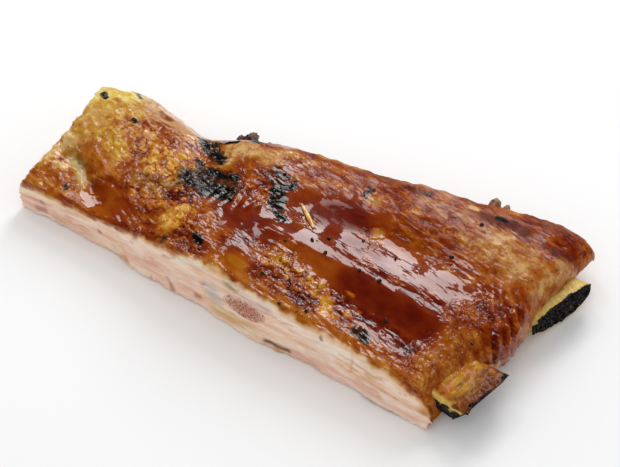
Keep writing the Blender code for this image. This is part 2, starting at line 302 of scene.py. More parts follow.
class ShaderTree:
    """One material's nodes, with short ways to add the usual ones."""

    def __init__(self, name: str) -> None:
        """Starts a material with its shader and the piece's own coordinates."""
        self.material = bpy.data.materials.new(name)
        self.material.use_nodes = True
        self.tree = self.material.node_tree
        self.shader = self.tree.nodes["Principled BSDF"]
        self.place = self.tree.nodes.new("ShaderNodeTexCoord").outputs["Object"]

    def put(self, socket: Socket, value: "Socket | float | tuple") -> None:
        """Links a socket to another, or sets its value."""
        if isinstance(value, bpy.types.NodeSocket):
            self.tree.links.new(value, socket)
        elif isinstance(value, tuple) and len(value) == 3 and socket.type == "RGBA":
            socket.default_value = (*value, 1.0)
        else:
            socket.default_value = value

    def set(self, **values: "Socket | float | tuple") -> None:
        """Sets the shader's sockets, named with _ for a space."""
        for name, value in values.items():
            self.put(self.shader.inputs[name.replace("_", " ").title().replace("Ior", "IOR")], value)

    def attribute(self, name: str) -> tuple[Socket, Socket]:
        """A vertex layer, as its colour and its number."""
        node = self.tree.nodes.new("ShaderNodeAttribute")
        node.attribute_name = name
        return node.outputs["Color"], node.outputs["Fac"]

    def noise(
        self, size: float, detail: float = 3.0, stretch: tuple[float, float, float] = (1.0, 1.0, 1.0),
        turn: float = 0.0,
    ) -> Socket:
        """A noise whose swings are size millimetres long, longer along an axis by its stretch.

        Args:
            size: the length of a swing, in millimetres.
            detail: how many finer layers lie over it.
            stretch: how many times longer a swing is along each axis.
            turn: how far the pattern is turned about Z, in degrees.

        Returns:
            The noise, from 0 to 1.
        """
        mapping = self.tree.nodes.new("ShaderNodeMapping")
        mapping.vector_type = "TEXTURE"
        self.put(mapping.inputs["Vector"], self.place)
        mapping.inputs["Scale"].default_value = stretch
        mapping.inputs["Rotation"].default_value = (0.0, 0.0, math.radians(turn))
        node = self.tree.nodes.new("ShaderNodeTexNoise")
        self.put(node.inputs["Vector"], mapping.outputs["Vector"])
        node.inputs["Scale"].default_value = 1.0 / (size * MM)
        node.inputs["Detail"].default_value = detail
        return node.outputs["Fac"]

    def cells(self, size: float) -> Socket:
        """Distance to the middle of the nearest of many cells, size millimetres across."""
        node = self.tree.nodes.new("ShaderNodeTexVoronoi")
        self.put(node.inputs["Vector"], self.place)
        node.inputs["Scale"].default_value = 1.0 / (size * MM)
        return node.outputs["Distance"]

    def shards(self, size: float, stretch: tuple[float, float, float], turn: float, push: float) -> Socket:
        """How deep a place lies inside its shard, in a field of uneven shards.

        Args:
            size: how wide a shard is, in millimetres.
            stretch: how many times longer it is along each axis.
            turn: how far the pattern is turned about Z, in degrees.
            push: how far the shards' borders are pushed about, in millimetres.

        Returns:
            0 at the borders and about 0.5 in the middle.
        """
        wander = self.tree.nodes.new("ShaderNodeTexNoise")
        self.put(wander.inputs["Vector"], self.place)
        wander.inputs["Scale"].default_value = 1.0 / (0.8 * size * MM)
        pushed = self.tree.nodes.new("ShaderNodeVectorMath")
        pushed.operation = "MULTIPLY_ADD"
        self.put(pushed.inputs[0], wander.outputs["Color"])
        pushed.inputs[1].default_value = (push * MM,) * 3
        self.put(pushed.inputs[2], self.place)
        mapping = self.tree.nodes.new("ShaderNodeMapping")
        mapping.vector_type = "TEXTURE"
        self.put(mapping.inputs["Vector"], pushed.outputs[0])
        mapping.inputs["Scale"].default_value = stretch
        mapping.inputs["Rotation"].default_value = (0.0, 0.0, math.radians(turn))
        node = self.tree.nodes.new("ShaderNodeTexVoronoi")
        node.feature = "DISTANCE_TO_EDGE"
        self.put(node.inputs["Vector"], mapping.outputs["Vector"])
        node.inputs["Scale"].default_value = 1.0 / (size * MM)
        return node.outputs["Distance"]

    def math(self, operation: str, first: "Socket | float", second: "Socket | float" = 0.0) -> Socket:
        """One sum."""
        node = self.tree.nodes.new("ShaderNodeMath")
        node.operation = operation
        self.put(node.inputs[0], first)
        self.put(node.inputs[1], second)
        return node.outputs[0]

    def ramp(
        self, value: Socket, low: float, high: float, start: float = 0.0, end: float = 1.0, soft: bool = True,
    ) -> Socket:
        """Maps low..high to start..end, held beyond both."""
        node = self.tree.nodes.new("ShaderNodeMapRange")
        node.interpolation_type = "SMOOTHSTEP" if soft else "LINEAR"
        for name, number in (("From Min", low), ("From Max", high), ("To Min", start), ("To Max", end)):
            node.inputs[name].default_value = number
        self.put(node.inputs["Value"], value)
        return node.outputs["Result"]

    def mix(self, share: "Socket | float", first: "Socket | Colour", second: "Socket | Colour",
            way: str = "MIX") -> Socket:
        """Mixes two colours."""
        node = self.tree.nodes.new("ShaderNodeMix")
        node.data_type = "RGBA"
        node.blend_type = way
        self.put(node.inputs["Factor"], share)
        self.put(node.inputs[6], first)
        self.put(node.inputs[7], second)
        return node.outputs[2]

    def power(self, colour: "Socket | Colour", exponent: Socket) -> Socket:
        """A colour to a power, as light that passes that many times through a layer."""
        node = self.tree.nodes.new("ShaderNodeGamma")
        self.put(node.inputs["Color"], colour)
        self.put(node.inputs["Gamma"], exponent)
        return node.outputs["Color"]

    def bump(self, height: Socket, depth: float, below: Socket | None = None) -> Socket:
        """A bumped normal.

        Args:
            height: from 0 to 1.
            depth: how many millimetres 1 stands for.
            below: a normal that it is laid over.

        Returns:
            The new normal.
        """
        node = self.tree.nodes.new("ShaderNodeBump")
        node.inputs["Distance"].default_value = depth * MM
        self.put(node.inputs["Height"], height)
        if below is not None:
            self.put(node.inputs["Normal"], below)
        return node.outputs["Normal"]


# ---------------------------------------------------------------------------------------------------------
# Finishes
# ---------------------------------------------------------------------------------------------------------


@dataclass(frozen=True)
class GlazedMeatFinish:
    """Roast meat under a clear brown glaze, and the dull cut where there is none.

    The layers it reads are flesh, the colour under the glaze, glaze, its thickness, char, dry, cut, still,
    gel, where it lies in chips, crinkled, where the skin is, and soaked, where it has sunk in and shines
    less.
    """

    glaze: Colour = (0.68, 0.40, 0.10)  # what one thickness lets through
    soot: Colour = paint(14, 10, 8)
    ember: Colour = paint(66, 36, 16)
    fleck: Colour = paint(168, 80, 30)
    crust: Colour = paint(220, 178, 124)
    fibre: Colour = (0.74, 0.52, 0.44)  # how much redder the lean fibres are
    tallow: Colour = paint(250, 234, 214)
    vein: Colour = (0.66, 0.46, 0.26)  # how much darker the flesh is in its veins
    wet_roughness: float = 0.34
    dry_roughness: float = 0.6
    soot_roughness: float = 0.6
    cut_roughness: float = 0.6

    def material(self) -> bpy.types.Material:
        """Builds the nodes."""
        tree = ShaderTree("glazed_meat")
        flesh = tree.attribute("flesh")[0]
        glaze, char, dry, cut, still, gel, crinkled, soaked = (
            tree.attribute(name)[1]
            for name in ("glaze", "char", "dry", "cut", "still", "gel", "crinkled", "soaked")
        )
        lively = tree.math("SUBTRACT", 1.0, still)

        strand = tree.noise(0.7, 4.0, (5.0, 1.0, 1.0), -12.0)
        fleck = tree.noise(0.9, 5.0)
        mottle = tree.noise(3.0, 4.0, (1.6, 1.0, 1.0), -15.0)
        swing = tree.math("ADD", tree.ramp(strand, 0.34, 0.66, -0.2, 0.2),
            tree.ramp(fleck, 0.36, 0.64, -0.1, 0.1))
        swing = tree.math("MULTIPLY", swing, lively)
        patchy = tree.math("MULTIPLY", tree.ramp(mottle, 0.36, 0.64, -0.32, 0.32),
            tree.ramp(lively, 0.0, 1.0, 0.3, 1.0))
        swing = tree.math("ADD", swing, patchy)
        shard = tree.shards(3.0, (1.8, 1.0, 1.0), -25.0, 4.5)
        chips = tree.math("MULTIPLY", gel, tree.ramp(tree.noise(4.0, 2.0), 0.38, 0.52))
        swing = tree.math("ADD", swing, tree.math("MULTIPLY", chips, tree.ramp(shard, 0.02, 0.14, 1.1,
            -0.65)))
        layer = tree.math("MULTIPLY", glaze, tree.math("MAXIMUM", tree.math("ADD", 1.0, swing), 0.05))
        vein = tree.noise(1.5, 5.0, (1.5, 1.0, 1.0), -30.0)
        marbled = tree.mix(tree.ramp(vein, 0.42, 0.62, 0.45, 0.0), flesh,
            tree.mix(1.0, flesh, self.vein, "MULTIPLY"))
        pale_vein = tree.math("MULTIPLY", tree.ramp(vein, 0.52, 0.64, 0.0, 0.35),
            tree.ramp(glaze, 0.5, 1.3, 1.0, 0.0))
        marbled = tree.mix(pale_vein, marbled, self.tallow)
        marbled = tree.mix(tree.ramp(lively, 0.0, 1.0, 0.2, 1.0), flesh, marbled)
        glazed = tree.mix(1.0, marbled, tree.power(self.glaze, layer), "MULTIPLY")

        fibre = tree.noise(0.6, 4.0, (4.0, 1.0, 1.0), 4.0)
        cloud = tree.noise(2.0, 4.0, (6.0, 1.0, 1.0), 5.0)
        bare = tree.mix(tree.ramp(fibre, 0.3, 0.7, 0.26, 0.0), flesh,
            tree.mix(1.0, flesh, self.fibre, "MULTIPLY"))
        bare = tree.mix(tree.ramp(cloud, 0.48, 0.62, 0.0, 0.6), bare, self.tallow)
        bare = tree.mix(tree.ramp(cloud, 0.46, 0.34, 0.0, 0.4), bare,
            tree.mix(1.0, flesh, self.fibre, "MULTIPLY"))
        colour = tree.mix(cut, glazed, bare)

        pale = tree.math("MULTIPLY", tree.ramp(tree.noise(4.5, 4.0), 0.46, 0.6), dry)
        colour = tree.mix(tree.math("MULTIPLY", pale, 0.55), colour, self.crust)
        speck = tree.math("MULTIPLY", tree.ramp(tree.noise(1.7, 5.0), 0.51, 0.63), dry)
        colour = tree.mix(tree.math("MULTIPLY", speck, 0.75), colour, self.fleck)
        clot = tree.noise(2.4, 2.5, (1.7, 1.0, 1.0), -14.0)
        ragged = tree.math("ADD", tree.ramp(clot, 0.3, 0.7, -0.6, 0.6, soft=False),
                           tree.ramp(fleck, 0.3, 0.7, -0.12, 0.12, soft=False))
        burnt = tree.math("ADD", char, tree.math("MULTIPLY", ragged, tree.ramp(char, 0.0, 0.4)))
        colour = tree.mix(tree.ramp(burnt, 0.0, 0.42, 0.0, 0.8), colour, self.ember)
        sooty = tree.ramp(burnt, 0.3, 0.9)
        spice = tree.math("MULTIPLY", tree.ramp(tree.cells(2.6), 0.13, 0.08), tree.math("SUBTRACT", 1.0, cut))
        colour = tree.mix(tree.math("MULTIPLY", spice, 0.75), colour, self.ember)
        colour = tree.mix(sooty, colour, self.soot)

        rough = tree.ramp(dry, 0.0, 1.0, self.wet_roughness, self.dry_roughness)
        rough = tree.math("MAXIMUM", rough, tree.math("MULTIPLY", soaked, 0.55))
        rough = tree.math("MAXIMUM", rough, tree.math("MULTIPLY", cut, self.cut_roughness))
        rough = tree.math("MAXIMUM", rough, tree.math("MULTIPLY", sooty, self.soot_roughness))
        dull = tree.math("MAXIMUM", tree.math("MULTIPLY", dry, 0.85), tree.math("MULTIPLY", sooty, 0.15))
        dull = tree.math("MAXIMUM", dull, soaked)
        wet = tree.math("SUBTRACT", 1.0, tree.math("MAXIMUM", dull, tree.math("MULTIPLY", cut, 0.9)))

        fine = tree.math("MULTIPLY", tree.noise(0.5, 4.0), tree.math("MAXIMUM", dry, cut))
        under = tree.bump(fine, 0.22)
        under = tree.bump(tree.math("MULTIPLY", fibre, cut), 0.22, under)
        under = tree.bump(tree.math("MULTIPLY", strand, lively), 0.08, under)
        ripple = tree.ramp(tree.noise(1.9, 1.0, (3.0, 1.0, 1.0), -10.0), 0.44, 0.7)
        skin = tree.bump(tree.math("MULTIPLY", ripple, tree.ramp(lively, 0.0, 1.0, 0.14, 1.0)), 0.34)
        dimple = tree.ramp(tree.noise(0.8, 1.0, (2.4, 1.0, 1.0), -20.0), 0.5, 0.72)
        skin = tree.bump(tree.math("MULTIPLY", dimple, tree.ramp(lively, 0.0, 1.0, 0.05, 1.0)), 0.07, skin)
        skin = tree.bump(tree.math("MULTIPLY", tree.ramp(shard, 0.0, 0.25), chips), 0.45, skin)
        crinkle = tree.ramp(tree.shards(2.2, (2.0, 1.0, 1.0), 48.0, 3.0), 0.0, 0.3)
        skin = tree.bump(tree.math("MULTIPLY", crinkle, crinkled), 0.5, skin)

        tree.set(
            base_color=colour, roughness=rough, normal=under, coat_weight=wet, coat_roughness=0.04,
            coat_ior=1.5, coat_normal=skin, ior=1.42, specular_ior_level=0.08, subsurface_weight=0.05,
            subsurface_scale=0.001,
            subsurface_radius=(1.0, 0.4, 0.15),
        )
        return tree.material


@dataclass(frozen=True)
class BoneFinish:
    """Roast bone: straw-coloured and streaked outside, spongy where it is cut, sooty where it burnt.

    The layers it reads are flesh, sponge and char.
    """

    streak: Colour = paint(170, 96, 30)
    rim: Colour = paint(226, 192, 176)
    marrow: Colour = paint(200, 140, 116)
    pore: Colour = paint(112, 50, 38)
    soot: Colour = paint(22, 19, 18)
    ash: Colour = paint(70, 66, 64)

    def material(self) -> bpy.types.Material:
        """Builds the nodes."""
        tree = ShaderTree("roast_bone")
        flesh = tree.attribute("flesh")[0]
        sponge, char = (tree.attribute(name)[1] for name in ("sponge", "char"))
        streak = tree.noise(0.5, 4.0, (7.0, 1.0, 1.0), -35.0)
        pores = tree.cells(0.45)
        fleck = tree.noise(0.6, 4.0)
        colour = tree.mix(tree.ramp(streak, 0.35, 0.6, 0.35, 0.0), flesh, self.streak)
        inside = tree.ramp(tree.math("ADD", sponge, tree.ramp(fleck, 0.3, 0.7, -0.4, 0.4)), 0.35, 0.95)
        hole = tree.math("MULTIPLY", tree.ramp(pores, 0.5, 0.25), inside)
        colour = tree.mix(tree.ramp(sponge, 0.0, 0.2), colour, self.rim)
        colour = tree.mix(inside, colour, self.marrow)
        colour = tree.mix(tree.math("MULTIPLY", hole, 0.8), colour, self.pore)
        burnt = tree.math("ADD", char, tree.ramp(fleck, 0.3, 0.7, -0.3, 0.3, soft=False))
        cinder = tree.mix(tree.ramp(fleck, 0.46, 0.66), self.soot, self.ash)
        colour = tree.mix(tree.ramp(burnt, 0.3, 0.6), colour, cinder)
        rough = tree.ramp(tree.math("MAXIMUM", sponge, char), 0.0, 1.0, 0.5, 0.7)
        wet = tree.math("SUBTRACT", 0.25, tree.math("MULTIPLY", tree.math("MAXIMUM", sponge, char), 0.22))
        normal = tree.bump(tree.math("SUBTRACT", streak, hole), 0.12)
        normal = tree.bump(tree.math("MULTIPLY", fleck, char), 0.6, normal)
        skin = tree.bump(tree.ramp(tree.noise(1.2, 1.5), 0.46, 0.7), 0.5)
        tree.set(
            base_color=colour, roughness=rough, normal=normal, coat_weight=wet, coat_roughness=0.05,
            coat_ior=1.5, coat_normal=skin, specular_ior_level=0.05, subsurface_weight=0.06,
            subsurface_scale=0.001, subsurface_radius=(1.0, 0.5, 0.2),
        )
        return tree.material


@dataclass(frozen=True)
class CrumbFinish:
    """A small dry thing of two tones, such as pepper, a burnt crumb or a shred of herb."""

    name: str
    light: Colour
    dark: Colour
    grain: float  # millimetres
    roughness: float
    coat: float = 0.0

    def material(self) -> bpy.types.Material:
        """Builds the nodes."""
        tree = ShaderTree(self.name)
        grain = tree.noise(self.grain, 4.0)
        tree.set(
            base_color=tree.mix(tree.ramp(grain, 0.4, 0.62), self.dark, self.light),
            roughness=tree.ramp(grain, 0.3, 0.7, self.roughness - 0.1, self.roughness + 0.1),
            normal=tree.bump(grain, 0.25 * self.grain), coat_weight=self.coat, coat_roughness=0.12,
        )
        return tree.material


@dataclass(frozen=True)
class TableFinish:
    """A plain pale table top."""

    colour: Colour = (0.97, 0.972, 0.975)

    def material(self) -> bpy.types.Material:
        """Builds the nodes."""
        tree = ShaderTree("pale_table")
        shade = tree.ramp(tree.noise(400.0, 1.0), 0.3, 0.7, 0.99, 1.0)
        tint = tree.mix(1.0, self.colour, tree.mix(shade, (0.0, 0.0, 0.0), (1.0, 1.0, 1.0)), "MULTIPLY")
        tree.set(base_color=tint, roughness=0.9, specular_ior_level=0.0)
        return tree.material


# ---------------------------------------------------------------------------------------------------------
# The meat
# ---------------------------------------------------------------------------------------------------------


@dataclass(frozen=True)
class SlabForm:
    """The whole form of the slab of meat: its plan, its thickness and the hollows of its bone side."""

    length: float = 139.5
    front_cut: Knots = ((1.8, 0.0), (35.0, 1.0), (60.0, 0.1), (82.0, -0.4), (104.0, -0.5), (139.5, -0.6))
    back_edge: Knots = (
        (-5.8, 45.8), (8.0, 50.2), (22.0, 48.0), (34.0, 45.4), (47.0, 50.6), (64.0, 55.7), (88.0, 59.5),
        (112.0, 64.8), (130.0, 70.4), (140.0, 72.2), (147.6, 70.0),
    )
    left_end: Knots = ((1.8, 0.0), (1.4, 8.0), (1.2, 15.0), (0.6, 22.5), (-1.0, 33.0), (-5.8, 45.8))
    right_end: Knots = (
        (139.5, -0.6), (139.6, 5.0), (140.4, 12.0), (142.2, 18.5), (145.6, 25.0), (146.0, 33.0),
        (145.4, 40.0), (146.4, 50.0), (147.4, 57.0), (147.0, 61.5), (147.8, 66.0), (147.6, 70.0),
    )
    front_height: Knots = (
        (0.0, 10.0), (38.0, 12.6), (62.0, 15.4), (84.0, 15.8), (108.0, 14.4), (130.0, 13.0), (141.0, 11.0),
    )
    back_height: Knots = ((-6.0, 12.8), (30.0, 12.6), (60.0, 15.0), (100.0, 15.6), (130.0, 14.6),
        (150.0, 12.6))
    crown: float = 2.6
    crown_power: float = 0.8
    top_fillet: tuple[float, float, float, float] = (1.6, 6.0, 2.6, 4.5)  # front, back, left and right
    base_fillet: tuple[float, float, float, float] = (0.4, 3.2, 0.6, 3.0)
    bulge_back: float = 0.5
    bulge_right: float = 0.6
    lower_lip: Knots = (  # how far the cut's lower edge stands out in front of its upper edge
        (0.0, 0.0), (36.0, 0.3), (44.0, 2.0), (60.0, 1.2), (72.0, 1.2), (86.0, 1.9), (100.0, 0.7),
        (114.0, 0.6),
        (128.0, 1.2), (141.0, 0.3),
    )
    lip_rise: float = 1.5
    lip_reach: int = 8
    right_undercut: float = 3.6
    undercut_reach: int = 6
    ridges: Strokes = (
        ((-4.0, 34.0), (30.0, 34.0), 8.0, 1.3), ((8.0, 15.5), (27.0, 7.0), 4.0, -2.3),
        ((27.0, 5.0), (60.0, 4.0), 4.0, -0.8), ((42.0, 34.0), (58.0, 22.0), 6.0, -1.6),
        ((50.0, 44.0), (62.0, 40.0), 5.0, 1.4), ((80.0, 36.0), (112.0, 33.0), 5.5, -1.7),
        ((84.0, 24.0), (130.0, 25.0), 3.2, 0.7), ((104.0, 52.0), (140.0, 51.0), 10.0, 1.5),
        ((100.0, 15.0), (126.0, 13.0), 5.0, -1.0), ((139.0, 1.0), (140.0, 18.0), 4.0, -3.4),
        ((147.0, 61.5), (141.0, 61.5), 2.2, -0.9),
    )
    swells: Strokes = (  # the glaze's own slight crests and hollows
        ((76.0, 19.2), (131.0, 19.2), 2.8, 0.9), ((92.0, 30.0), (124.0, 30.0), 3.0, 0.35),
        ((98.0, 37.5), (118.0, 36.5), 3.6, -0.7), ((68.0, 28.5), (87.0, 27.0), 4.5, -1.1),
        ((76.0, 38.0), (95.0, 38.6), 4.0, 0.9), ((102.0, 9.0), (124.0, 8.0), 4.5, -0.9),
        ((100.0, 15.5), (124.0, 14.0), 4.0, 0.5), ((47.5, 8.0), (49.5, 21.0), 3.0, 0.5),
        ((57.5, 9.0), (60.0, 24.0), 3.0, 0.5), ((68.5, 11.0), (70.0, 23.0), 3.0, 0.45),
        ((57.0, 2.0), (57.0, 14.0), 7.0, 0.9), ((71.0, 3.0), (72.0, 9.0), 4.0, 0.7),
        ((64.0, 8.0), (80.0, 7.0), 3.0, 0.5),
    )
    bone_side: Strokes = (((34.0, 18.5), (141.0, 28.0), 6.0, 1.1), ((8.0, 13.0), (58.0, 12.0), 5.0, 0.8))
    hollow_start: float = 0.06

    def plan(self, u: np.ndarray, v: np.ndarray) -> np.ndarray:
        """Plan points at share u of the length and v of the width, between the slab's four edges."""
        front, back = along_edge(self.front_cut, u), along_edge(self.back_edge, u)
        left, right = along_edge(self.left_end, v), along_edge(self.right_end, v)
        u, v = u[..., None], v[..., None]
        corners = (
            (1 - u) * (1 - v) * np.array(self.front_cut[0]) + u * (1 - v) * np.array(self.front_cut[-1])
            + (1 - u) * v * np.array(self.back_edge[0]) + u * v * np.array(self.back_edge[-1])
        )
        return (1 - v) * front + v * back + (1 - u) * left + u * right - corners

    def top(self, plan: np.ndarray, v: np.ndarray) -> np.ndarray:
        """Height of the upper face before its rims are rounded."""
        front = height_along(self.front_height, plan[..., 0])
        back = height_along(self.back_height, plan[..., 0])
        crown = self.crown * np.clip(np.sin(math.pi * v), 0.0, 1.0) ** self.crown_power
        return (1 - v) * front + v * back + crown + relief(plan, self.ridges + self.swells)

    def turn(self, u: np.ndarray, v: np.ndarray, width: np.ndarray, radii: tuple) -> np.ndarray:
        """The drop or lift of a face near the slab's rims."""
        ways_in = (v * width, (1 - v) * width, u * self.length, (1 - u) * self.length)
        total = np.zeros(len(u))
        for way_in, radius in zip(ways_in, radii):
            short = np.clip(radius - way_in, 0.0, radius)
            total += (radius - np.sqrt(radius * radius - short * short)) ** 2
        return np.sqrt(total)

    def points(self, box: np.ndarray) -> np.ndarray:
        """Moves points of a unit box onto the slab.

        Args:
            box: shares of the length, the width and the thickness, one row a point.

        Returns:
            Plan millimetres, one row a point.
        """
        u, v, w = box.T
        plan = self.plan(u, v)
        width = np.linalg.norm(along_edge(self.back_edge, u) - along_edge(self.front_cut, u), axis=1)
        top = self.top(plan, v) - self.turn(u, v, width, self.top_fillet)
        hollow = np.maximum(relief(plan, self.bone_side) - self.hollow_start, 0.0)
        base = self.turn(u, v, width, self.base_fillet) + hollow
        belly = 4.0 * w * (1.0 - w)
        plan[:, 0] += np.where(u > 1 - 1e-6, self.bulge_right, 0.0) * belly
        plan[:, 1] += np.where(v > 1 - 1e-6, self.bulge_back, 0.0) * belly
        lip = height_along(self.lower_lip, plan[:, 0])
        plan[:, 1] -= lip * (1.0 - w) ** self.lip_rise * (1.0 - v) ** self.lip_reach
        plan[:, 0] -= self.right_undercut * v**2 * u**self.undercut_reach * (1.0 - w)
        return np.column_stack([plan, base + w * (top - base)])


@dataclass(frozen=True)
class Patch:
    """Places on the slab that share a colour under the glaze, a glaze thickness, or both."""

    strokes: Strokes
    flesh: Colour | None = None
    glaze: float | None = None
    edge: float = 0.5


STRAW, OLIVE = paint(238, 216, 112), paint(214, 174, 64)
BEIGE, CREAM = paint(206, 170, 118), paint(226, 204, 168)
TAN, GOLD = paint(214, 162, 96), paint(234, 190, 74)
ROSY, LIVER = paint(212, 160, 122), paint(150, 66, 50)
MILK, SMOKE = paint(214, 204, 168), paint(130, 88, 48)
# The first colour here is a painted sheen: pale pink that stands in for light reflected on the back left rim.
PAINTED_SHEEN, MAROON = paint(216, 180, 164), paint(122, 30, 22)


